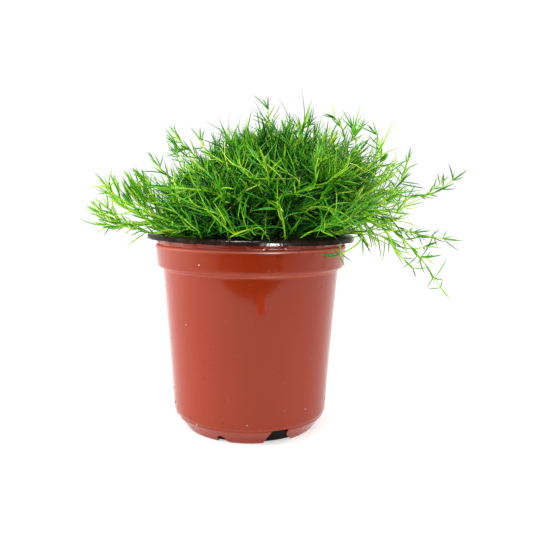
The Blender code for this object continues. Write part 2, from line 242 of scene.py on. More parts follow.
def grid_faces(rows: int, columns: int, first: int, closed: bool = True) -> np.ndarray:
    """Quads between neighbouring rows of a grid of vertices whose columns may close into a ring.

    Args:
        rows: How many rows the grid has.
        columns: How many vertices a row has.
        first: The number of the grid's first vertex.
        closed: Whether the last column joins the first.

    Returns:
        Four vertex numbers for each quad, with its front on the side where rows fall and columns rise.
    """
    row = np.arange(rows - 1)[:, None] * columns
    column = np.arange(columns if closed else columns - 1)[None, :]
    beside = (column + 1) % columns
    quads = np.stack([row + column, row + columns + column, row + columns + beside, row + beside], axis=-1)
    return quads.reshape(-1, 4) + first


def fan_faces(ring: int, columns: int, pole: int, pole_last: bool) -> np.ndarray:
    """Triangles from a ring of vertices to the single vertex at its pole."""
    column = np.arange(columns)
    beside = (column + 1) % columns
    ends = [ring + column, np.full(columns, pole), ring + beside]
    return np.stack(ends if pole_last else [ends[0], ends[2], ends[1]], axis=-1)


def offset_path(path: np.ndarray, distance: float) -> np.ndarray:
    """Shift a profile sideways by a distance, along the mean of the normals of the legs at each point.

    Args:
        path: Radius and height of each point.
        distance: How far to shift, to the left of the way that the path runs.

    Returns:
        The shifted points.
    """
    legs = np.diff(path, axis=0)
    normals = np.stack([-legs[:, 1], legs[:, 0]], axis=1) / np.linalg.norm(legs, axis=1, keepdims=True)
    both = np.concatenate([normals[:1], normals[:-1] + normals[1:], normals[-1:]])
    both /= np.linalg.norm(both, axis=1, keepdims=True)
    legs_after = np.concatenate([normals, normals[-1:]])
    cosine = np.maximum(np.sum(both * legs_after, axis=1), 0.6)
    return path + both * (distance / cosine)[:, None]


def refine_path(path: np.ndarray, longest: float) -> np.ndarray:
    """Divide the legs of a profile that are longer than a length into equal steps."""
    legs = np.diff(path, axis=0)
    steps = np.maximum(1, np.ceil(np.linalg.norm(legs, axis=1) / longest).astype(int))
    shares = np.concatenate([np.arange(count) / count for count in steps])
    start = np.repeat(path[:-1], steps, axis=0)
    leg = np.repeat(legs, steps, axis=0)
    return np.concatenate([start + leg * shares[:, None], path[-1:]])


def around(profile: np.ndarray, steps: int) -> tuple[np.ndarray, np.ndarray, np.ndarray]:
    """Spread a profile round the upright axis.

    Args:
        profile: Radius and height of each row.
        steps: How many bearings.

    Returns:
        Bearing in radians from the front towards +X, radius and height, one row a profile point.
    """
    bearing = np.linspace(-math.pi, math.pi, steps, endpoint=False)
    shape = (len(profile), steps)
    bearings = np.broadcast_to(bearing[None, :], shape)
    radii = np.broadcast_to(profile[:, :1], shape)
    heights = np.broadcast_to(profile[:, 1:], shape)
    return bearings, radii, heights


def turned(bearings: np.ndarray, radii: np.ndarray, heights: np.ndarray) -> np.ndarray:
    """Points at a bearing, radius and height: x = r sin b, y = -r cos b."""
    return np.stack([radii * np.sin(bearings), -radii * np.cos(bearings), heights], axis=-1)


def ride(piece: bpy.types.Object, slot: str, *nodes: str) -> bpy.types.Object:
    """Fix a piece to the object's one body, and name the CAD nodes that it stands for.

    Args:
        piece: The finished piece.
        slot: Not used.
        nodes: The CAD nodes that it replaces.

    Returns:
        The piece.
    """
    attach(piece, "root")
    if nodes:
        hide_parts(*nodes)
    triangles = sum(len(face.vertices) - 2 for face in piece.data.polygons)
    log.info("%s: %d triangles, stands for %s", piece.name, triangles, ", ".join(nodes) or "nothing")
    return piece


# Finishes


class Slot(Enum):
    """The record's material slots."""

    POT = "terracotta_plastic"
    MIX = "peat_mix"
    MAT = "moss_foliage"
    SHOOT = "moss_shoot"


def new_material(name: str) -> tuple[bpy.types.Material, bpy.types.NodeTree, bpy.types.Node]:
    """Start a material, and give it with its node tree and its Principled shader."""
    material = bpy.data.materials.new(name)
    material.use_nodes = True
    tree = material.node_tree
    return material, tree, tree.nodes["Principled BSDF"]


@dataclass(frozen=True)
class TerracottaSheet:
    """Terracotta-coloured polystyrene sheet, vacuum-formed.

    Forming leaves a smooth skin with a soft gloss and a faint orange peel. Handling leaves a thin
    film of dust. The ledge under the neck and the step under the collar carry dull bands of a paler
    colour, a painted highlight where those rounded edges catch the light.
    Watering leaves pale and brown flecks of mix, more of them low down.
    """

    body: str = "892a0c"
    film: str = "8b2d14"
    dust: str = "c08d7a"
    dirt: str = "4a1c0f"
    # Colour of the painted highlight bands on the ledge and the step.
    painted_highlight: str = "b0533c"
    roughness: float = 0.045
    peel_mm: float = 2.2
    film_mm: float = 34.0
    fleck_mm: float = 1.1
    splash_mm: float = 2.6

    def make(self) -> bpy.types.Material:
        """Make the material."""
        material, tree, shader = new_material("terracotta_polystyrene_vacuum_formed")
        place = add_node(tree, "TexCoord").outputs["Object"]
        broad = add_node(
            tree, "TexNoise", values={"Scale": 1000 / self.film_mm, "Detail": 1.0}, links={"Vector": place}
        ).outputs["Fac"]
        tone = add_node(
            tree, "Mix", {"data_type": "RGBA"}, {6: linear(self.body), 7: linear(self.film)}, {0: broad}
        ).outputs[2]
        fine = add_node(
            tree, "TexNoise", values={"Scale": 1000 / self.fleck_mm, "Detail": 1.0}, links={"Vector": place}
        ).outputs["Fac"]
        fleck = add_node(
            tree, "MapRange", values={"From Min": 0.74, "From Max": 0.84, "To Max": 0.3}, links={"Value": fine}
        ).outputs["Result"]
        dusted = add_node(
            tree, "Mix", {"data_type": "RGBA"}, {7: linear(self.dust)}, {0: fleck, 6: tone}
        ).outputs[2]
        grime = add_node(
            tree, "TexNoise", values={"Scale": 1000 / self.splash_mm, "Detail": 2.0}, links={"Vector": place}
        ).outputs["Fac"]
        height = add_node(tree, "SeparateXYZ", links={"Vector": place}).outputs["Z"]
        climb = add_node(
            tree, "MapRange", values={"From Min": 0.068, "From Max": 0.082}, links={"Value": height}
        ).outputs["Result"]
        # Paler bands round the step and the ledge: a painted highlight on their rounded edges. The same bands also
        # dull the gloss.
        painted_highlight_bands = add_node(
            tree, "ValToRGB", links={"Fac": climb},
            stops=((0.05, "000000"), (0.09, "c0c0c0"), (0.16, "c0c0c0"), (0.21, "000000"), (0.76, "000000"),
                   (0.79, "f0f0f0"), (0.87, "f0f0f0"), (0.9, "000000")),
        ).outputs["Color"]
        low = add_node(
            tree, "MapRange",
            values={"From Min": 0.014, "From Max": 0.0, "To Min": 0.0, "To Max": 0.08}, links={"Value": height},
        ).outputs["Result"]
        lifted = add_node(tree, "Math", {"operation": "ADD"}, links={0: grime, 1: low}).outputs["Value"]
        spots = add_node(
            tree, "MapRange", values={"From Min": 0.74, "From Max": 0.84, "To Max": 0.5}, links={"Value": lifted}
        ).outputs["Result"]
        colour = add_node(
            tree, "Mix", {"data_type": "RGBA"}, {7: linear(self.dirt)}, {0: spots, 6: dusted}
        ).outputs[2]
        # Mixes the painted highlight colour in on those bands.
        painted_highlight = add_node(
            tree, "Mix", {"data_type": "RGBA"}, {7: linear(self.painted_highlight)}, {0: painted_highlight_bands, 6: colour}
        ).outputs[2]
        tree.links.new(painted_highlight, shader.inputs["Base Color"])
        gloss = add_node(
            tree, "MapRange", values={"To Min": self.roughness, "To Max": self.roughness + 0.06},
            links={"Value": broad},
        ).outputs["Result"]
        dull = add_node(
            tree, "Math", {"operation": "MULTIPLY_ADD"}, {1: 0.4}, {0: painted_highlight_bands, 2: gloss}
        ).outputs["Value"]
        tree.links.new(dull, shader.inputs["Roughness"])
        peel = add_node(
            tree, "TexNoise", values={"Scale": 1000 / self.peel_mm, "Detail": 1.0}, links={"Vector": place}
        ).outputs["Fac"]
        bump = add_node(tree, "Bump", values={"Strength": 0.03, "Distance": 0.0002}, links={"Height": peel})
        tree.links.new(bump.outputs["Normal"], shader.inputs["Normal"])
        shader.inputs["IOR"].default_value = 1.36
        return material


@dataclass(frozen=True)
class DarkSheet:
    """Near-black polystyrene face of the same sheet, seen on the rolled lip and inside.

    It is glossy where it was rolled, and dulled in patches by dried mix and lime from watering.
    Inside it is dull all over, and its darker body and dust there are painted shade.
    """

    name: str = "black_polystyrene_rolled_lip"
    body: str = "180d08"
    dust: str = "46332a"
    crust: str = "8a7358"
    roughness: float = 0.13
    gloss: float = 0.1
    patch_mm: float = 4.0
    grit_mm: float = 0.8

    def make(self) -> bpy.types.Material:
        """Make the material."""
        material, tree, shader = new_material(self.name)
        place = add_node(tree, "TexCoord").outputs["Object"]
        patch = add_node(
            tree, "TexNoise", values={"Scale": 1000 / self.patch_mm, "Detail": 4.0, "Roughness": 0.65},
            links={"Vector": place},
        ).outputs["Fac"]
        cover = add_node(
            tree, "MapRange", values={"From Min": 0.45, "From Max": 0.75, "To Max": 0.55},
            links={"Value": patch},
        ).outputs["Result"]
        tone = add_node(
            tree, "Mix", {"data_type": "RGBA"}, {6: linear(self.body), 7: linear(self.dust)}, {0: cover}
        ).outputs[2]
        grit = add_node(
            tree, "TexNoise", values={"Scale": 1000 / self.grit_mm, "Detail": 2.0}, links={"Vector": place}
        ).outputs["Fac"]
        specks = add_node(
            tree, "MapRange", values={"From Min": 0.7, "From Max": 0.78, "To Max": 0.7}, links={"Value": grit}
        ).outputs["Result"]
        colour = add_node(
            tree, "Mix", {"data_type": "RGBA"}, {7: linear(self.crust)}, {0: specks, 6: tone}
        ).outputs[2]
        tree.links.new(colour, shader.inputs["Base Color"])
        gloss = add_node(
            tree, "MapRange", values={"To Min": self.roughness, "To Max": 0.6}, links={"Value": cover}
        ).outputs["Result"]
        tree.links.new(gloss, shader.inputs["Roughness"])
        bump = add_node(tree, "Bump", values={"Strength": 0.3, "Distance": 0.0002}, links={"Height": grit})
        tree.links.new(bump.outputs["Normal"], shader.inputs["Normal"])
        shader.inputs["Specular IOR Level"].default_value = self.gloss
        return material


@dataclass(frozen=True)
class DampPeat:
    """Damp peat-based potting mix: fibrous near-black brown crumbs, a little shiny where wet."""

    wet: str = "140d09"
    damp: str = "20150e"
    dry: str = "3b2718"
    crumb_mm: float = 2.2
    fibre_mm: float = 0.9
    roughness: float = 0.85

    def make(self) -> bpy.types.Material:
        """Make the material."""
        material, tree, shader = new_material("damp_peat_mix")
        place = add_node(tree, "TexCoord").outputs["Object"]
        crumbs = add_node(tree, "TexVoronoi", values={"Scale": 1000 / self.crumb_mm}, links={"Vector": place})
        fibre = add_node(
            tree, "TexNoise", values={"Scale": 1000 / self.fibre_mm, "Detail": 4.0, "Roughness": 0.7},
            links={"Vector": place},
        ).outputs["Fac"]
        blend = add_node(
            tree, "Math", {"operation": "MULTIPLY"}, links={0: crumbs.outputs["Distance"], 1: fibre}
        ).outputs["Value"]
        colour = add_node(
            tree, "ValToRGB", links={"Fac": blend}, stops=((0.0, self.wet), (0.25, self.damp), (0.6, self.dry))
        ).outputs["Color"]
        tree.links.new(colour, shader.inputs["Base Color"])
        bump = add_node(tree, "Bump", values={"Strength": 0.8, "Distance": 0.0006}, links={"Height": fibre})
        tree.links.new(bump.outputs["Normal"], shader.inputs["Normal"])
        shader.inputs["Roughness"].default_value = self.roughness
        return material


@dataclass(frozen=True)
class ExpandedPerlite:
    """White expanded perlite granules: matt, porous and chalky, with peat stains in the pits."""

    white: str = "e9e5dc"
    stain: str = "a9957c"
    pore_mm: float = 0.5

    def make(self) -> bpy.types.Material:
        """Make the material."""
        material, tree, shader = new_material("expanded_perlite")
        place = add_node(tree, "TexCoord").outputs["Object"]
        pores = add_node(
            tree, "TexNoise", values={"Scale": 1000 / self.pore_mm, "Detail": 3.0}, links={"Vector": place}
        ).outputs["Fac"]
        colour = add_node(
            tree, "ValToRGB", links={"Fac": pores}, stops=((0.35, self.stain), (0.5, self.white))
        ).outputs["Color"]
        tree.links.new(colour, shader.inputs["Base Color"])
        bump = add_node(tree, "Bump", values={"Strength": 0.7, "Distance": 0.0003}, links={"Height": pores})
        tree.links.new(bump.outputs["Normal"], shader.inputs["Normal"])
        shader.inputs["Roughness"].default_value = 0.9
        return material


@dataclass(frozen=True)
class MossUndergrowth:
    """Old moss stems and leaves inside the cushion: matt, with brown tips. Their near-black green is partly old
    growth's own tone and partly painted shade for the cushion's dark inside.
    """

    shade: str = "041002"
    green: str = "0c2a05"
    straw: str = "2a3410"
    strand_mm: float = 1.3

    def make(self) -> bpy.types.Material:
        """Make the material."""
        material, tree, shader = new_material("shaded_moss_undergrowth")
        place = add_node(tree, "TexCoord").outputs["Object"]
        strands = add_node(
            tree, "TexNoise", values={"Scale": 1000 / self.strand_mm, "Detail": 4.0, "Roughness": 0.7},
            links={"Vector": place},
        ).outputs["Fac"]
        colour = add_node(
            tree, "ValToRGB", links={"Fac": strands},
            stops=((0.38, self.shade), (0.56, self.green), (0.74, self.straw)),
        ).outputs["Color"]
        tree.links.new(colour, shader.inputs["Base Color"])
        bump = add_node(tree, "Bump", values={"Strength": 0.9, "Distance": 0.0008}, links={"Height": strands})
        tree.links.new(bump.outputs["Normal"], shader.inputs["Normal"])
        shader.inputs["Roughness"].default_value = 0.9
        shader.inputs["Specular IOR Level"].default_value = 0.1
        return material


@dataclass(frozen=True)
class LivingLeaf:
    """Fresh moss leaves and stems: a smooth waxy skin, dark green when old and lime when young.

    The piece's own map gives the tone across it, from old to young, and the place from a leaf's
    base to its tip down it. A leaf is paler where it joins the stem.
    """

    tones: tuple[tuple[float, str], ...] = (
        (0.0, "042401"),
        (0.22, "1a6406"),
        (0.45, "38960d"),
        (0.65, "70bc12"),
        (0.82, "a8da24"),
        (1.0, "d6ee60"),
    )
    base: str = "b4dc30"
    tip: str = "5aa820"
    roughness: float = 0.3
    wax: float = 0.1

    def make(self, name: str) -> bpy.types.Material:
        """Make the material.

        Args:
            name: The material's name, for the plain leaf or the long shoots.

        Returns:
            The material.
        """
        material, tree, shader = new_material(name)
        spot = add_node(tree, "UVMap", {"uv_map": BAKE_MAP}).outputs["UV"]
        axes = add_node(tree, "SeparateXYZ", links={"Vector": spot})
        tone = add_node(tree, "ValToRGB", links={"Fac": axes.outputs["X"]}, stops=self.tones).outputs["Color"]
        near = add_node(
            tree, "MapRange", values={"From Min": 0.2, "From Max": 0.0, "To Max": 0.5},
            links={"Value": axes.outputs["Y"]},
        ).outputs["Result"]
        based = add_node(
            tree, "Mix", {"data_type": "RGBA"}, {7: linear(self.base)}, {0: near, 6: tone}
        ).outputs[2]
        far = add_node(
            tree, "MapRange", values={"From Min": 0.75, "From Max": 1.0, "To Max": 0.25},
            links={"Value": axes.outputs["Y"]},
        ).outputs["Result"]
        tipped = add_node(
            tree, "Mix", {"data_type": "RGBA"}, {7: linear(self.tip)}, {0: far, 6: based}
        ).outputs[2]
        tree.links.new(tipped, shader.inputs["Base Color"])
        shader.inputs["Roughness"].default_value = self.roughness
        shader.inputs["Specular IOR Level"].default_value = self.wax
        return material


# The pot


@dataclass
class Pot:
    """The vacuum-formed pot: lip, lugged neck, ledge, collar, step, body, groove, foot and base."""

    sheet: float = 0.7
    lip_radius: float = 45.0
    lip_top: float = 84.1
    lip_skirt: float = 2.4
    neck_radius: float = 40.4
    ledge_radius: float = 41.5
    ledge_height: float = 79.3
    collar_low_radius: float = 40.9
    step_height: float = 69.4
    body_top_radius: float = 38.4
    groove_radius: float = 33.35
    groove_height: float = 6.8
    foot_radius: float = 28.9
    channel_height: float = 3.2
    pad_radius: float = 13.6
    lug_count: int = 18
    lug_bearing: float = 3.2
    lug_depth: float = 0.7
    lip_rise: float = 0.45
    lip_rise_bearing: float = -62.0
    notch_count: int = 8
    first_narrow: float = -22.5
    notch_inner: float = 25.5
    notch_outer: float = 40.0
    steps: int = 300

    def outer_profile(self) -> np.ndarray:
        """Radius and height down the terracotta face, from the lip's inner edge to the base's middle."""
        bend = 0.6
        flange = self.lip_top - self.sheet
        skirt = self.lip_radius - self.sheet
        path = [(skirt, self.lip_top - self.lip_skirt)]
        path += arc((skirt - bend, flange - bend), bend, 0, 90, 5)
        path += arc((self.neck_radius + bend, flange - bend), bend, 90, 180, 5)
        path += [(self.neck_radius - 0.1, self.ledge_height + 0.95)]
        path += arc((self.ledge_radius - 1.1, self.ledge_height - 0.3), 1.1, 84, -4, 9)
        path += [
            (self.ledge_radius - 0.15, self.ledge_height - 1.5),
            (self.collar_low_radius, self.step_height + 2.6),
        ]
        path += arc((self.collar_low_radius - 1.6, self.step_height + 2.3), 1.6, -8, -75, 6)
        path += [(self.body_top_radius + 0.25, self.step_height + 0.35)]
        path += arc((self.body_top_radius + 0.35, self.step_height - 0.25), 0.35, 110, 180, 4)
        path += [
            (self.body_top_radius - 0.08, self.step_height - 1.4),
            (self.groove_radius + 0.5, self.groove_height + 0.75),
            (self.groove_radius + 0.3, self.groove_height + 0.35),
            (self.groove_radius, self.groove_height),
            (self.groove_radius - 0.12, self.groove_height - 0.5),
            (self.groove_radius - 0.1, self.groove_height - 0.9),
            (31.0, 3.0),
            (29.9, 1.2),
            (29.4, 0.45),
            (self.foot_radius, 0.0),
            (self.foot_radius - 1.5, 0.0),
            (self.foot_radius - 1.8, 0.25),
            (self.foot_radius - 2.7, self.channel_height - 0.3),
            (self.foot_radius - 3.1, self.channel_height),
            (self.pad_radius + 2.0, self.channel_height),
            (self.pad_radius + 1.6, self.channel_height - 0.2),
            (self.pad_radius + 0.2, 0.2),
            (self.pad_radius - 0.2, 0.0),
            (1.2, 0.0),
        ]
        return np.array(path)

    def lug_share(self, bearings: np.ndarray, heights: np.ndarray) -> np.ndarray:
        """How far a point of the neck is raised: 1 on a lug and 0 in a recess.

        A cosine with one wave a lug, steepened four times and cut off at its ends, gives flat lugs
        with short flanks, and the share fades out at the flange and at the ledge.
        """
        wave = np.cos(self.lug_count * (bearings - math.radians(self.lug_bearing)))
        flat = np.clip(wave * 4.0, -1.0, 1.0) * 0.5 + 0.5
        foot = step_between(heights, self.ledge_height + 0.85, self.ledge_height + 1.15)
        return flat * foot * (1.0 - step_between(heights, self.lip_top - 1.5, self.lip_top - 0.9))

    def shape(self, profile: np.ndarray, is_inner: bool) -> np.ndarray:
        """Points of one face of the sheet, in rows down its profile.

        The radius is the profile's, plus the lugs on the neck and a slight wander of the lip. The lip's
        edge is trimmed unevenly, and the lip is bent up a little at the front left.
        """
        bearings, radii, heights = around(profile, self.steps)
        rest = turned(bearings, radii, heights)
        is_lip = step_between(radii, self.neck_radius + 1.0, self.neck_radius + 2.4)
        is_lip = is_lip * step_between(heights, self.lip_top - 4.0, self.lip_top - 2.6)
        neck = (1.0 - is_lip) * self.lug_share(bearings, heights)
        radii = radii + self.lug_depth * neck
        edge = is_lip * (1.0 - step_between(heights, self.lip_top - self.lip_skirt, self.lip_top - 1.2))
        wander = smooth_noise(rest * np.array([1.0, 1.0, 0.0]), 6.0, 3)
        fray = smooth_noise(rest * np.array([1.0, 1.0, 0.0]), 1.3, 4)
        risen = np.maximum(np.cos(bearings - math.radians(self.lip_rise_bearing)), 0.0) ** 2
        heights = heights + self.lip_rise * risen * (is_lip + 0.7 * edge)
        heights = heights + edge * (0.22 * wander + 0.12 * fray)
        radii = radii + is_lip * 0.12 * smooth_noise(rest * np.array([1.0, 1.0, 0.0]), 9.0, 5)
        return turned(bearings, radii, heights)

    def notch_outline(self, is_narrow: bool) -> np.ndarray:
        """Across and up, the outline of a drain notch: an arched slot, or a wide gap with one round side."""
        if is_narrow:
            path = [(-2.2, -1.0), (-2.0, 0.2), *arc((0.0, 1.1), 1.9, 180, 0, 13), (2.4, 0.6), (3.3, 0.0), (3.5, -1.0)]
        else:
            path = [(-6.25, -1.0), (-5.85, 0.1), (-4.05, 6.1), (-3.9, 6.4), (-3.55, 6.5), (3.15, 6.5)]
            path += [*arc((7.15, 4.8), 3.8, 165, 250, 9), (6.85, 0.0), (7.25, -1.0)]
        return np.array(path)

    def notch_cutters(self) -> bpy.types.Object:
        """The eight notches as closed prisms, each an outline carried outwards along its bearing."""
        cutters = Surface()
        for number in range(self.notch_count):
            outline = self.notch_outline(number % 2 == 0)
            bearing = math.radians(self.first_narrow + 360.0 / self.notch_count * number)
            out = np.array([math.sin(bearing), -math.cos(bearing)])
            across = np.array([math.cos(bearing), math.sin(bearing)])
            ends = []
            for radius in (self.notch_inner, self.notch_outer):
                flat = radius * out + outline[:, :1] * across
                ends.append(np.concatenate([flat, outline[:, 1:]], axis=1))
            count = len(outline)
            first = cutters.add_points(np.stack(ends))
            cutters.add_faces(grid_faces(2, count, first)[:, ::-1])
            cutters.add_faces((first + np.arange(count))[None, :])
            cutters.add_faces((first + count + np.arange(count))[None, ::-1])
        made = cutters.build("notch_cutters", [])
        recalculate(made)
        return made

    def build(self, finishes: list[bpy.types.Material]) -> bpy.types.Object:
        """Make the pot: both faces of the sheet joined at the lip's edge, with the notches cut.

        Args:
            finishes: The outside, the rolled lip and the dull inside.

        Returns:
            The piece.
        """
        outer = refine_path(self.outer_profile(), 1.6)
        inner = offset_path(self.outer_profile(), -self.sheet)
        inner[0, 1] = self.lip_top - self.lip_skirt
        inner = refine_path(inner, 1.9)
        pot = Surface()
        rows, columns = len(outer), self.steps
        first = pot.add_points(self.shape(outer, False))
        pole = pot.add_points(np.array([[0.0, 0.0, 0.0]]))
        pot.add_faces(grid_faces(rows, columns, first))
        pot.add_faces(fan_faces(first + (rows - 1) * columns, columns, pole, True))
        inner_rows = len(inner)
        inner_first = pot.add_points(self.shape(inner, True))
        inner_pole = pot.add_points(np.array([[0.0, 0.0, self.sheet]]))
        lip_rows = int(np.argmax((inner[:, 1] < self.lip_top - 3.0) & (inner[:, 0] < self.lip_radius - 2.0)))
        inside = grid_faces(inner_rows, columns, inner_first)[:, ::-1]
        pot.add_faces(inside[: lip_rows * columns], finish=1)
        pot.add_faces(inside[lip_rows * columns :], finish=2)
        pot.add_faces(fan_faces(inner_first + (inner_rows - 1) * columns, columns, inner_pole, False), finish=2)
        column = np.arange(columns)
        beside = (column + 1) % columns
        edge = [inner_first + column, first + column, first + beside, inner_first + beside]
        pot.add_faces(np.stack(edge, axis=-1), finish=1)
        made = pot.build("pot_sheet", finishes)
        cut(made, self.notch_cutters())
        made.data.shade_smooth()
        made.data.set_sharp_from_angle(angle=math.radians(38.0))
        return made


def recalculate(piece: bpy.types.Object) -> None:
    """Turn all the faces of a closed mesh outwards."""
    import bmesh

    bm = bmesh.new()
    bm.from_mesh(piece.data)
    bmesh.ops.recalc_face_normals(bm, faces=bm.faces)
    bm.to_mesh(piece.data)
    bm.free()


def cut(piece: bpy.types.Object, cutter: bpy.types.Object) -> None:
    """Cut one closed mesh from another, apply the cut and remove the cutter."""
    modifier = piece.modifiers.new("notches", "BOOLEAN")
    modifier.object = cutter
    modifier.operation = "DIFFERENCE"
    bpy.context.view_layer.update()
    evaluated = piece.evaluated_get(bpy.context.evaluated_depsgraph_get())
    mesh = bpy.data.meshes.new_from_object(evaluated)
    piece.modifiers.clear()
    piece.data = mesh
    bpy.data.objects.remove(cutter, do_unlink=True)


# The potting mix


@dataclass
class PottingMix:
    """The plug of peat mix, its crumbs and the perlite in it."""

    pot: Pot
    top: float = 78.2
    clearance: float = 0.35
    steps: int = 150
    crumb_count: int = 700
    perlite_count: int = 70
    seed: int = 5

    def profile(self) -> np.ndarray:
        """Radius and height from the middle of the plug's top to the middle of its bottom."""
        pot = self.pot
        inset = pot.sheet + self.clearance
        return np.array([
            (1.0, self.top),
            (18.0, self.top - 0.1),
            (27.0, self.top - 0.3),
            (34.0, self.top - 0.6),
            (pot.collar_low_radius - inset - 0.6, self.top - 1.4),
            (pot.collar_low_radius - inset - 0.4, pot.step_height + 3.2),
            (pot.body_top_radius - inset - 0.4, pot.step_height + 0.6),
            (pot.groove_radius - inset, pot.groove_height + 1.4),
            (29.4, pot.channel_height + inset),
            (pot.pad_radius + 1.2, pot.channel_height + inset),
            (pot.pad_radius - 1.4, inset),
            (1.0, inset),
        ])

    def build(self, peat: bpy.types.Material) -> bpy.types.Object:
        """Make the plug: its top is crumbly, and its side and bottom are pitted inwards."""
        profile = refine_path(self.profile(), 1.5)
        bearings, radii, heights = around(profile, self.steps)
        rest = turned(bearings, radii, heights)
        is_top = step_between(heights, self.top - 1.6, self.top - 0.8)
        rough = smooth_noise(rest, 2.2, 21) + 0.5 * smooth_noise(rest, 1.0, 22)
        heights = heights + 0.38 * rough * is_top
        radii = radii - (1.0 - is_top) * 0.3 * (1.0 + rough) * step_between(radii, 2.0, 12.0)
        plug = Surface()
        first = plug.add_points(turned(bearings, radii, heights))
        poles = plug.add_points(np.array([[0.0, 0.0, self.top], [0.0, 0.0, profile[-1, 1]]]))
        plug.add_faces(grid_faces(len(profile), self.steps, first))
        plug.add_faces(fan_faces(first, self.steps, poles, False))
        plug.add_faces(fan_faces(first + (len(profile) - 1) * self.steps, self.steps, poles + 1, True))
        return plug.build("potting_mix_plug", [peat])

    def build_grains(
        self, name: str, count: int, sizes: tuple[float, float], material: bpy.types.Material, seed: int
    ) -> bpy.types.Object:
        """Scatter lumps over the plug's top, more of them near the wall.

        A lump is a small ball of two rings of six points and two poles, whose points move in and out at random.

        Args:
            name: The piece's name.
            count: How many lumps.
            sizes: The smallest and largest radius.
            material: Their finish.
            seed: Seeds their places.

        Returns:
            The piece.
        """
        rng = np.random.default_rng(seed)
        bearing = rng.uniform(-math.pi, math.pi, count)
        radius = 38.4 * np.sqrt(rng.uniform(0.2, 1.0, count))
        size = rng.uniform(*sizes, count)
        centre = turned(bearing, radius, np.full(count, self.top - 0.9) + size * 0.2)
        return lumps(name, centre, size, material, rng)


def lumps(
    name: str,
    centres: np.ndarray,
    sizes: np.ndarray,
    material: bpy.types.Material,
    rng: np.random.Generator,
) -> bpy.types.Object:
    """Small rough balls: two rings of six points and two poles, each point at 0.7 to 1.2 of the size."""
    count = len(centres)
    angle = np.radians(np.arange(6) * 60.0)
    rings = [np.stack([np.cos(angle + turn) * 0.86, np.sin(angle + turn) * 0.86, np.full(6, z)], axis=-1)
             for turn, z in ((0.0, -0.45), (0.5, 0.45))]
    ball = np.concatenate([[[0.0, 0.0, -1.0]], *rings, [[0.0, 0.0, 1.0]]])
    spread = rng.uniform(0.7, 1.2, (count, len(ball), 1))
    stretch = rng.uniform(0.7, 1.2, (count, 1, 3))
    points = centres[:, None, :] + ball[None] * spread * stretch * sizes[:, None, None]
    side = np.arange(6)
    after = (side + 1) % 6
    low, high = 1 + side, 7 + side
    triangles = np.concatenate([
        np.stack([np.zeros(6, int), 1 + after, low], axis=-1),
        np.stack([low, 1 + after, high], axis=-1),
        np.stack([1 + after, 7 + after, high], axis=-1),
        np.stack([high, 7 + after, np.full(6, 13)], axis=-1),
    ])
    made = Surface()
    first = made.add_points(points)
    offsets = first + np.arange(count)[:, None, None] * len(ball)
    made.add_faces((triangles[None] + offsets).reshape(-1, 3))
    return made.build(name, [material])


# Leaves and stems


@dataclass(frozen=True)
class Needle:
    """The form of a needle leaf: half widths at shares of its length, and a flat triangular section."""

    stations: tuple[float, ...] = (0.0, 0.3, 0.64, 0.88)
    swell: tuple[float, ...] = (0.6, 1.0, 0.86, 0.48)
    sides: int = 3
    flatness: float = 0.55


SHORT_NEEDLE = Needle()
LONG_NEEDLE = Needle(
    stations=(0.0, 0.12, 0.3, 0.5, 0.7, 0.86, 0.96),
    swell=(0.55, 0.8, 1.0, 1.0, 0.82, 0.52, 0.22),
    sides=4,
    flatness=0.75,
)
BUD = Needle(
    stations=(0.0, 0.12, 0.3, 0.5, 0.7, 0.86, 0.96),
    swell=(0.3, 0.62, 0.92, 1.0, 0.84, 0.5, 0.24),
    sides=8,
    flatness=1.0,
)
MAP_STEP = 0.0025


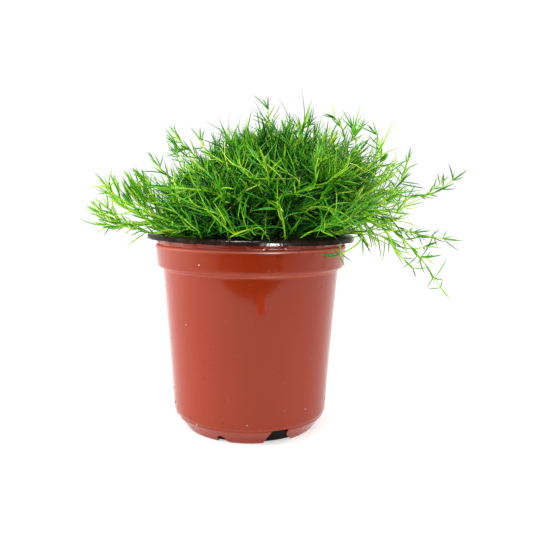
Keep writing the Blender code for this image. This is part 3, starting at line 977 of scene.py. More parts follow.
@dataclass
class Leaves:
    """A batch of leaves as arrays with one row a leaf."""

    roots: np.ndarray
    along: np.ndarray
    across: np.ndarray
    lengths: np.ndarray
    widths: np.ndarray
    bends: np.ndarray
    tones: np.ndarray

    def tips(self) -> np.ndarray:
        """Where the leaves end."""
        normal = unit(np.cross(self.along, self.across))
        return self.roots + self.lengths[:, None] * (self.along + normal * self.bends[:, None])

    def clear_of(self, pot: "Pot") -> "Leaves":
        """The leaves whose tips stay above the pot's lip, or hang well outside it but not in front."""
        tips = self.tips()
        hangs = (np.hypot(tips[:, 0], tips[:, 1]) > pot.lip_radius + 7.0) & (tips[:, 1] > -35.0)
        kept = (tips[:, 2] > pot.lip_top + 0.3) | hangs
        return Leaves(**{name: values[kept] for name, values in vars(self).items()})

    def add_to(self, surface: Surface, form: Needle) -> None:
        """Add the leaves to a surface.

        The spine at share t is root + length (t along + bend t^2 normal). Round it go rings of a few
        points, wide across the leaf and thin along its normal, and the last ring closes on the tip.

        Args:
            surface: Takes the leaves.
            form: The leaf's form.
        """
        share = np.array(form.stations)[None, :, None]
        normal = unit(np.cross(self.along, self.across))
        length = self.lengths[:, None, None]
        bend = self.bends[:, None, None]
        spine = self.roots[:, None] + length * (self.along[:, None] * share + normal[:, None] * bend * share ** 2)
        tilt = unit(normal[:, None] - 2.0 * bend * share * self.along[:, None])
        half = 0.5 * self.widths[:, None, None] * np.array(form.swell)[None, :, None]
        turn = -math.pi / 2 + np.arange(form.sides) * 2.0 * math.pi / form.sides
        across = self.across[:, None, None] * (half * np.cos(turn)[None, None])[..., None]
        up = tilt[:, :, None] * (half * form.flatness * np.sin(turn)[None, None])[..., None]
        rings = spine[:, :, None] + across + up
        tips = self.tips()
        count, levels, sides = len(self.roots), len(form.stations), form.sides
        first = surface.add_points(rings)
        tip = surface.add_points(tips)
        leaf = np.arange(count)[:, None, None] * levels * sides
        level = np.arange(levels - 1)[None, :, None] * sides
        side = np.arange(sides)[None, None, :]
        after = (side + 1) % sides
        quads = np.stack(np.broadcast_arrays(
            leaf + level + side, leaf + level + after, leaf + level + sides + after, leaf + level + sides + side
        ), axis=-1) + first
        tone = self.tones[:, None, None] + 0.0 * quads[..., 0]
        left, right = tone + MAP_STEP * side, tone + MAP_STEP * (side + 1)
        low = np.array(form.stations)[None, :-1, None] * 0.98 + 0.01 + 0.0 * tone
        high = np.array(form.stations)[None, 1:, None] * 0.98 + 0.01 + 0.0 * tone
        corners = np.stack([
            np.stack([left, low], -1), np.stack([right, low], -1),
            np.stack([right, high], -1), np.stack([left, high], -1),
        ], axis=-2)
        surface.add_faces(quads.reshape(-1, 4), corners.reshape(-1, 4, 2))
        last = np.arange(count)[:, None] * levels * sides + (levels - 1) * sides
        side = np.arange(sides)[None, :]
        after = (side + 1) % sides
        ends = np.stack(np.broadcast_arrays(last + side, last + after), axis=-1) + first
        points = np.broadcast_to((tip + np.arange(count))[:, None, None], (count, sides, 1))
        tone = self.tones[:, None] + 0.0 * side
        top = form.stations[-1] * 0.98 + 0.01
        corners = np.stack([
            np.stack([tone + MAP_STEP * side, np.full_like(tone, top)], -1),
            np.stack([tone + MAP_STEP * (side + 1), np.full_like(tone, top)], -1),
            np.stack([tone + MAP_STEP * (side + 0.5), np.full_like(tone, 0.99)], -1),
        ], axis=-2)
        surface.add_faces(np.concatenate([ends, points], axis=-1).reshape(-1, 3), corners.reshape(-1, 3, 2))
        base = (np.arange(count)[:, None] * levels * sides + np.arange(sides)[None, ::-1]) + first
        round_base = np.stack([np.cos(turn), np.sin(turn)], axis=-1)[::-1] * MAP_STEP
        corners = np.stack([self.tones, np.full(count, 0.012)], -1)[:, None] + round_base[None] * 0.8 + MAP_STEP
        surface.add_faces(base, corners)


def add_stems(
    surface: Surface,
    paths: np.ndarray,
    radii: np.ndarray,
    tones: np.ndarray,
    sides: int,
) -> None:
    """Add stems: rings of points round each path, square to it, closed flat at both ends.

    Args:
        surface: Takes the stems.
        paths: Places along each stem, one row a stem, all with the same number of points.
        radii: The stem's radius at each of those places.
        tones: The map's place across, at each of those places.
        sides: How many points go round.
    """
    count, levels = paths.shape[:2]
    run = unit(np.gradient(paths, axis=1))
    helper = np.where(np.abs(run[:, :1, 2:]) > 0.9, [[[1.0, 0.0, 0.0]]], [[[0.0, 0.0, 1.0]]])
    right = unit(np.cross(run, np.broadcast_to(helper, run.shape)))
    up = np.cross(run, right)
    turn = np.arange(sides) * 2.0 * math.pi / sides
    ring = right[:, :, None] * np.cos(turn)[:, None] + up[:, :, None] * np.sin(turn)[:, None]
    first = surface.add_points(paths[:, :, None] + ring * radii[:, :, None, None])
    stem = np.arange(count)[:, None, None] * levels * sides
    level = np.arange(levels - 1)[None, :, None] * sides
    side = np.arange(sides)[None, None, :]
    after = (side + 1) % sides
    quads = np.stack(np.broadcast_arrays(
        stem + level + side, stem + level + after, stem + level + sides + after, stem + level + sides + side
    ), axis=-1) + first
    low, high = tones[:, :-1, None] + 0.0 * side, tones[:, 1:, None] + 0.0 * side
    high = np.where(np.abs(high - low) < MAP_STEP, low + MAP_STEP, high)
    left, right_edge = 0.45 + 0.012 * side + 0.0 * low, 0.462 + 0.012 * side + 0.0 * low
    corners = np.stack([
        np.stack([low, left], -1), np.stack([low, right_edge], -1),
        np.stack([high, right_edge], -1), np.stack([high, left], -1),
    ], axis=-2)
    surface.add_faces(quads.reshape(-1, 4), corners.reshape(-1, 4, 2))
    disc = np.stack([np.cos(turn), np.sin(turn)], axis=-1) * MAP_STEP
    start = np.arange(count)[:, None] * levels * sides + np.arange(sides)[None, ::-1] + first
    end = np.arange(count)[:, None] * levels * sides + (levels - 1) * sides + np.arange(sides)[None] + first
    for faces, tone, flat in ((start, tones[:, 0], disc[::-1]), (end, tones[:, -1], disc)):
        middle = np.stack([tone, np.full(count, 0.47)], -1)[:, None]
        surface.add_faces(faces, middle + flat[None])


def spin(vectors: np.ndarray, axes: np.ndarray, angles: np.ndarray) -> np.ndarray:
    """Turn vectors about unit axes they are square to: v cos a + (axis x v) sin a."""
    return vectors * np.cos(angles)[..., None] + np.cross(axes, vectors) * np.sin(angles)[..., None]


def side_of(along: np.ndarray) -> np.ndarray:
    """A unit vector square to each direction."""
    helper = np.where(np.abs(along[..., 2:]) > 0.85, [1.0, 0.0, 0.0], [0.0, 0.0, 1.0])
    return unit(np.cross(along, helper))


# The cushion of moss


@dataclass
class Cushion:
    """The dense cushion: a core painted dark as shade, undergrowth on it, and tufts of short shoots all round."""

    pot: Pot
    mix_top: float = 78.2
    widest: float = 93.0
    edge: float = 86.4
    top: float = 119.0
    lean: float = 11.0
    left_fall: float = 0.6
    reach_front: float = 42.5
    reach_right: float = 49.5
    reach_back: float = 48.0
    reach_left: float = 42.0
    fullness: float = 2.9
    core_inset: float = 11.0
    core_neck: float = 36.5
    tuft_inset: float = 13.5
    tuft_count: int = 205
    tuft_shoots: int = 4
    tuft_spread: float = 2.8
    shoot_length: tuple[float, float] = (7.5, 15.5)
    nodes: int = 3
    node_leaves: int = 4
    tip_leaves: int = 6
    skirt_count: int = 230
    undergrowth_count: int = 5000
    sectors: int = 6
    seed: int = 23

    def reach(self, bearings: np.ndarray) -> np.ndarray:
        """How far the cushion spreads at a bearing, eased between its four sides by sin^2 and cos^2."""
        side, ahead = np.sin(bearings), np.cos(bearings)
        across = np.where(side > 0, self.reach_right, self.reach_left)
        along = np.where(ahead > 0, self.reach_front, self.reach_back)
        return across * side ** 2 + along * ahead ** 2

    def dome(self, bearings: np.ndarray, share: np.ndarray, inset: float) -> np.ndarray:
        """Points of the dome, pulled in by an inset.

        The height at a share s of the reach is widest + rise (1 - s^p)^0.55. The power p is higher on
        the right, where the cushion is squarer, and the rise falls off towards the left. The dome leans
        to the right as it rises.

        Args:
            bearings: In radians from the front towards +X.
            share: Share of the reach, from 0 on top to 1 at the widest place.
            inset: How far inside the cushion's outside the points lie.

        Returns:
            The points.
        """
        leftward = np.clip(-np.sin(bearings), 0.0, 1.0) * step_between(share, 0.35, 0.85)
        rise = (self.top - inset - self.widest) * (1.0 - self.left_fall * leftward)
        power = self.fullness + 1.3 * np.sin(bearings)
        heights = self.widest + rise * np.clip(1.0 - share ** power, 0.0, 1.0) ** 0.55
        points = turned(bearings, share * (self.reach(bearings) - inset), heights)
        points[..., 0] += self.lean * np.clip((heights - self.edge) / (self.top - self.edge), 0.0, 1.0)
        return points

    def build_core(self, material: bpy.types.Material) -> bpy.types.Object:
        """The core: the dome pulled in and roughened by noise, over a plug that sits in the pot's neck; its dark
        finish is painted shade.
        """
        steps, rows = 180, 40
        share = np.sin(np.linspace(0.03, math.pi / 2, rows))
        bearing = np.linspace(-math.pi, math.pi, steps, endpoint=False)
        bearings, shares = np.meshgrid(bearing, share)
        points = self.dome(bearings, shares, self.core_inset)
        neck, low = self.core_neck, self.mix_top + 0.65
        under = np.array([(neck - 1.0, self.edge - 2.0), (neck, self.edge - 4.0), (neck - 0.6, low + 0.6),
                          (24.0, low), (1.0, low)])
        edge = points[-1] - np.array([0.0, 0.0, 4.0]) * np.ones((steps, 1))
        below = turned(*around(refine_path(under, 2.0), steps))
        points = np.concatenate([points, edge[None], below])
        outward = unit(points - np.array([self.lean * 0.5, 0.0, self.edge]))
        rough = 1.6 * smooth_noise(points, 5.0, 31) + 1.1 * smooth_noise(points, 2.2, 32)
        free = step_between(points[..., 2], self.edge, self.edge + 5.0)
        points = points + outward * (rough * free)[..., None]
        core = Surface()
        first = core.add_points(points)
        poles = core.add_points(np.array([points[0].mean(0), [0.0, 0.0, low]]))
        core.add_faces(grid_faces(len(points), steps, first))
        core.add_faces(fan_faces(first, steps, poles, False))
        core.add_faces(fan_faces(first + (len(points) - 1) * steps, steps, poles + 1, True))
        return core.build("moss_core", [material])

    def places(self, count: int, inset: float, rng: np.random.Generator) -> tuple[np.ndarray, np.ndarray]:
        """Spread places evenly over the dome and its underside edge, by the golden angle.

        Args:
            count: How many places.
            inset: How far inside the outside they lie.
            rng: Jitters them.

        Returns:
            The places and their outward directions.
        """
        number = np.arange(count) + rng.uniform(-0.4, 0.4, count)
        bearing = number * math.pi * (3.0 - math.sqrt(5.0)) + rng.normal(0.0, 0.07, count)
        tilt = np.clip((number + 0.5) / count, 0.0, 1.0) * math.radians(104.0)
        share = np.sin(np.minimum(tilt, math.pi / 2))
        points = self.dome(bearing, share, inset)
        below = np.maximum(tilt - math.pi / 2, 0.0) / math.radians(14.0)
        points[:, 2] -= below * 5.0
        points[:, :2] *= (1.0 - 0.03 * below)[:, None]
        return points, unit(points - np.array([self.lean * 0.4, 0.0, 76.0]))

    def build_undergrowth(self, material: bpy.types.Material) -> bpy.types.Object:
        """Short leaves standing on the core, which fill the gaps between the shoots. Their near-black green is painted
        shade that eases off towards the crest.
        """
        rng = np.random.default_rng(self.seed + 1)
        count = self.undergrowth_count
        roots, out = self.places(count, self.core_inset + 1.2, rng)
        along = unit(out + rng.normal(0.0, 0.6, (count, 3)))
        across = spin(side_of(along), along, rng.uniform(0.0, math.tau, count))
        crest = step_between(roots[:, 2], 95.0, 105.0)
        surface = Surface()
        Leaves(
            roots=roots, along=along, across=across,
            lengths=rng.uniform(5.0, 9.5, count),
            widths=rng.uniform(0.55, 0.8, count),
            bends=rng.uniform(-0.25, 0.35, count),
            # Low tones: painted shade for the leaves deep in the cushion, less of it towards the crest.
            tones=np.clip(rng.normal(0.06, 0.07, count) + 0.24 * crest, 0.005, 0.5),
        ).add_to(surface, SHORT_NEEDLE)
        return surface.build("moss_undergrowth", [material], mapped=True)

    def tuft_paths(self, rng: np.random.Generator) -> tuple[np.ndarray, np.ndarray]:
        """Stems of the tufts that cover the dome.

        Shoots that share a tuft set off from near one place and much the same way, so that gaps open
        between the tufts. A stem runs foot + length (heading s (1 - s/2) + lift s^2 / 2).

        Args:
            rng: Varies them.

        Returns:
            The stems' points, and each stem's tone.
        """
        tufts, out = self.places(self.tuft_count, self.tuft_inset, rng)
        lump = smooth_noise(tufts, 15.0, 41)
        turn = rng.normal(0.0, 0.62, (self.tuft_count, 3))
        tuft = np.repeat(np.arange(self.tuft_count), self.tuft_shoots)
        count = len(tuft)
        up = np.array([0.0, 0.0, 1.0])
        feet = tufts[tuft] + rng.normal(0.0, self.tuft_spread, (count, 3))
        heading = unit(out[tuft] + turn[tuft] + 0.3 * up + rng.normal(0.0, 0.56, (count, 3)))
        length = rng.uniform(*self.shoot_length, count) * (1.0 + 0.26 * lump[tuft])
        length = length * (1.0 - 0.25 * step_between(-feet[:, 0], 10.0, 26.0))
        crest = step_between(feet[:, 2], 98.0, 106.0)
        rise = rng.uniform(-0.5, 0.9, count) + 0.7 * crest
        lift = unit(heading + up * rise[:, None] + rng.normal(0.0, 0.36, (count, 3)))
        share = np.linspace(0.0, 1.0, 6)[None, :, None]
        reach = length[:, None, None]
        paths = feet[:, None] + reach * (
            heading[:, None] * share * (1.0 - 0.5 * share) + lift[:, None] * 0.5 * share ** 2
        )
        young = 0.08 * step_between(-feet[:, 0], 12.0, 40.0) + 0.17 * step_between(feet[:, 0], 20.0, 42.0)
        tips = paths[:, -1]
        shaded = step_between(-tips[:, 2], -104.0, -90.0) * step_between(-np.abs(tips[:, 0] - 8.0), -45.0, -15.0)
        tone = 0.41 + young - 0.27 * shaded + 0.12 * smooth_noise(feet, 12.0, 43) + rng.normal(0.0, 0.13, count)
        return paths, np.clip(tone, 0.06, 0.9)

    def skirt_paths(self, rng: np.random.Generator) -> tuple[np.ndarray, np.ndarray]:
        """Stems that rise from inside the lip all round and lean out over it, with each one's tone."""
        count = self.skirt_count
        bearing = np.arange(count) * math.tau / count + rng.normal(0.0, 0.03, count)
        near = rng.uniform(0.0, 1.0, count)
        feet = turned(bearing, 29.5 + 8.5 * near, rng.uniform(80.5, 84.0, count))
        out = turned(bearing, np.ones(count), np.zeros(count))
        heading = unit((0.3 + 0.6 * near)[:, None] * out + [0.0, 0.0, 1.0] + rng.normal(0.0, 0.28, (count, 3)))
        lift = unit(out + [0.0, 0.0, 0.35] + rng.normal(0.0, 0.5, (count, 3)))
        share = np.linspace(0.0, 1.0, 6)[None, :, None]
        reach = (rng.uniform(7.0, 12.0, count) - 4.0 * near)[:, None, None]
        paths = feet[:, None] + reach * (
            heading[:, None] * share * (1.0 - 0.5 * share) + lift[:, None] * 0.5 * share ** 2
        )
        tone = 0.2 + 0.32 * step_between(-feet[:, 0], 10.0, 32.0) + rng.normal(0.0, 0.14, count)
        return paths, np.clip(tone, 0.06, 0.85)

    def build_canopy(self, material: bpy.types.Material) -> list[bpy.types.Object]:
        """The tufts and the skirt, in sectors round the pot."""
        rng = np.random.default_rng(self.seed)
        parts = [self.tuft_paths(rng), self.skirt_paths(rng)]
        paths, tone = (np.concatenate(arrays) for arrays in zip(*parts))
        is_clear = paths[..., 2].min(axis=1) > np.where(
            np.hypot(paths[:, -1, 0], paths[:, -1, 1]) > self.core_neck, self.pot.lip_top + 0.5, 0.0
        )
        is_clear |= np.hypot(paths[..., 0], paths[..., 1]).max(axis=1) < self.pot.neck_radius - 1.5
        paths, tone = paths[is_clear], tone[is_clear]
        bearing = np.arctan2(paths[:, 0, 0], -paths[:, 0, 1])
        sector = np.floor((bearing / math.tau + 0.5) * self.sectors).astype(int) % self.sectors
        made = []
        for number in range(self.sectors):
            chosen = sector == number
            surface = Surface()
            self.dress(surface, paths[chosen], tone[chosen], rng)
            made.append(surface.build(f"moss_canopy_{number + 1}", [material], mapped=True))
        return made

    def dress(self, surface: Surface, paths: np.ndarray, tone: np.ndarray, rng: np.random.Generator) -> None:
        """Add stems and all their leaves for a group of shoots.

        Args:
            surface: Takes them.
            paths: The stems' points.
            tone: Each shoot's tone.
            rng: Varies the leaves.
        """
        count, levels = paths.shape[:2]
        taper = np.linspace(0.36, 0.22, levels)[None].repeat(count, 0)
        young = np.clip(tone[:, None] + 0.34 + rng.normal(0.0, 0.1, (count, 1)), 0.2, 0.97)
        add_stems(surface, paths, taper, np.linspace(0.3, 1.0, levels)[None] * young, 4)
        for number in range(self.nodes + 1):
            is_tip = number == self.nodes
            share = 1.0 if is_tip else 0.35 + 0.45 * number / max(1, self.nodes - 1)
            place = share * (levels - 1)
            below = min(int(place), levels - 2)
            root = paths[:, below] + (paths[:, below + 1] - paths[:, below]) * (place - below)
            run = unit(paths[:, below + 1] - paths[:, below])
            leaves = self.tip_leaves if is_tip else self.node_leaves
            total = count * leaves
            turn = rng.uniform(0.0, math.tau, (count, 1)) + math.tau * np.arange(leaves)[None] / leaves
            turn = turn + rng.normal(0.0, 0.5, (count, leaves))
            axis = np.broadcast_to(run[:, None], (count, leaves, 3))
            side = spin(np.broadcast_to(side_of(run)[:, None], axis.shape), axis, turn)
            lean = np.radians(rng.normal(24.0 if is_tip else 42.0, 17.0, (count, leaves)))[..., None]
            shade = tone[:, None] + rng.normal(0.06 if is_tip else -0.07, 0.22, (count, leaves))
            size = (6.0, 10.5) if is_tip else (7.0, 12.8)
            whorl = Leaves(
                roots=(root[:, None] + 0.0 * side).reshape(total, 3),
                along=unit(axis * np.cos(lean) + side * np.sin(lean)).reshape(total, 3),
                across=unit(np.cross(axis, side)).reshape(total, 3),
                lengths=rng.uniform(*size, total),
                widths=rng.uniform(0.58, 0.88, total),
                bends=rng.normal(0.08, 0.6, total),
                tones=np.clip(shade.reshape(total), 0.02, 0.97),
            )
            whorl.clear_of(self.pot).add_to(surface, SHORT_NEEDLE)


# The photograph's camera


@dataclass(frozen=True)
class PhotoCamera:
    """The camera that the pot's own edges ask for, in front of the pot and turned down by its pitch.

    Distance and height are in millimetres, pitch and roll in radians, and the rest in the photograph's
    pixels, counted across from its left and down from its top.
    """

    distance: float = 265.6
    height: float = 98.3
    pitch: float = 0.1077
    roll: float = 0.0066
    focal: float = 602.6
    middle_across: float = 250.6
    frame: float = 533.0

    def places(self, pixels: np.ndarray, depths: np.ndarray) -> np.ndarray:
        """Where the lines of sight through pixels reach depths.

        With x across and y down from the middle, turned back by the roll and divided by the focal
        length, and with pitch p, a line runs k = (depth + distance) / (cos p - y sin p) along the view:
        k x across and k (sin p + y cos p) down from the camera.

        Args:
            pixels: Across and down, one row a place.
            depths: Each place's distance behind the pot's axis, in millimetres.

        Returns:
            The places in millimetres.
        """
        flat = (pixels - np.array([self.middle_across, self.frame / 2])) / self.focal
        across = math.cos(self.roll) * flat[:, 0] + math.sin(self.roll) * flat[:, 1]
        down = math.cos(self.roll) * flat[:, 1] - math.sin(self.roll) * flat[:, 0]
        run = (depths + self.distance) / (math.cos(self.pitch) - down * math.sin(self.pitch))
        height = self.height - run * (math.sin(self.pitch) + down * math.cos(self.pitch))
        return np.stack([run * across, depths + 0.0 * across, height], axis=1)

    def pixels(self, places: np.ndarray) -> np.ndarray:
        """Where places show in the photograph, which undoes `places`.

        Args:
            places: Places in millimetres, one row each.

        Returns:
            Pixels across and down, one row a place.
        """
        forward = places[:, 1] + self.distance
        up = places[:, 2] - self.height
        away = forward * math.cos(self.pitch) - up * math.sin(self.pitch)
        across = places[:, 0] / away * self.focal
        down = -(forward * math.sin(self.pitch) + up * math.cos(self.pitch)) / away * self.focal
        return np.stack([
            math.cos(self.roll) * across - math.sin(self.roll) * down + self.middle_across,
            math.sin(self.roll) * across + math.cos(self.roll) * down + self.frame / 2,
        ], axis=1)

    def on_wall(self, pixels: np.ndarray, wall: np.ndarray) -> np.ndarray:
        """Where the lines of sight through pixels meet a round wall, by eight steps from its front.

        Args:
            pixels: Across and down, one row a place.
            wall: The wall's radii and heights, from the bottom up.

        Returns:
            The places in millimetres.
        """
        depths = np.full(len(pixels), -wall[:, 0].max())
        for _ in range(8):
            reached = self.places(pixels, depths)
            radii = np.interp(reached[:, 2], wall[:, 1], wall[:, 0])
            depths = -np.sqrt(np.maximum(radii ** 2 - reached[:, 0] ** 2, 0.0))
        return self.places(pixels, depths)


PHOTO_CAMERA = PhotoCamera()


# The separate shoots


@dataclass(frozen=True)
class Sprig:
    """What a long shoot carries, as read off the photograph, in its pixels across and down.

    A leaf is its root, its tip and its bend to the left. A twig is the places that it passes. A bud is
    its root, its tip and its width in millimetres.
    """

    leaves: tuple[tuple[float, float, float, float, float], ...]
    twigs: tuple[tuple[tuple[float, float], ...], ...] = ()
    buds: tuple[tuple[float, float, float, float, float], ...] = ()


LONG_SHOOTS: dict[str, tuple[tuple[float, float, float], ...]] = {
    "shoot_left_low": ((-34, -4, 90), (-53, -2, 88), (-60, 0, 90), (-67, 2, 93)),
    "shoot_left_middle": ((-33, -18, 90), (-44, -17, 94), (-52, -12, 97), (-59.5, -9, 101.5)),
    "shoot_left_fan": ((-36, -6, 94), (-44, -4, 98), (-48, -2, 101.5), (-50, 0, 104)),
    "shoot_left_high": ((-28, 4, 104), (-37, 6, 109), (-41, 7, 113), (-44, 8, 117)),
    "shoot_left_top": ((-20, 2, 114), (-27, 3, 120), (-31, 4, 124), (-34, 5, 128)),
    "shoot_front_left": ((-3, -26, 108), (-12, -27, 114), (-18, -24, 118), (-21, -21, 124)),
    "shoot_top": ((1, 0, 122), (4, -1, 128), (7, -3, 132), (7, -4, 137)),
    "shoot_top_right": ((20, -2, 122), (22, -2, 128), (23, -2, 132), (24, -2, 135)),
    "shoot_top_far_right": ((42, 4, 118), (41, 3, 126), (39, 2, 131), (36, 2, 135)),
    "shoot_crest_right": ((45, 14, 112), (48, 15, 120), (48, 16, 126), (47, 17, 131)),
    "shoot_right_crown": ((45, -6, 106), (54, -7, 114), (55, -4, 121), (54, -2, 127)),
    "shoot_right_rising": ((50, -14, 99), (60, -12, 104), (64, -10, 110), (66, -9, 117)),
    "shoot_right_far": ((52, 3, 100), (68, 1, 101), (79, 0, 102), (88, 0, 108)),
    "shoot_right_out": ((50, 11, 92), (62, 12, 89), (76, 11, 84), (88, 10, 82)),
    "trailing_shoot_long": ((44, -17, 91), (56, -20, 88), (68, -22, 77), (77, -24, 64)),
    "trailing_shoot_middle": ((42, -22, 93), (52, -29, 88), (56, -32, 80), (63, -34, 73)),
    "shoot_over_rim": ((36, -25, 94), (42, -32, 89), (42, -33, 83), (34, -36, 78)),
}

BUSHY_SHOOTS = ("shoot_left_low", "shoot_left_middle", "shoot_left_fan")
RING_PULLS = {"skirt": 18.0, "shoulder": 13.0, "crown": 16.0}

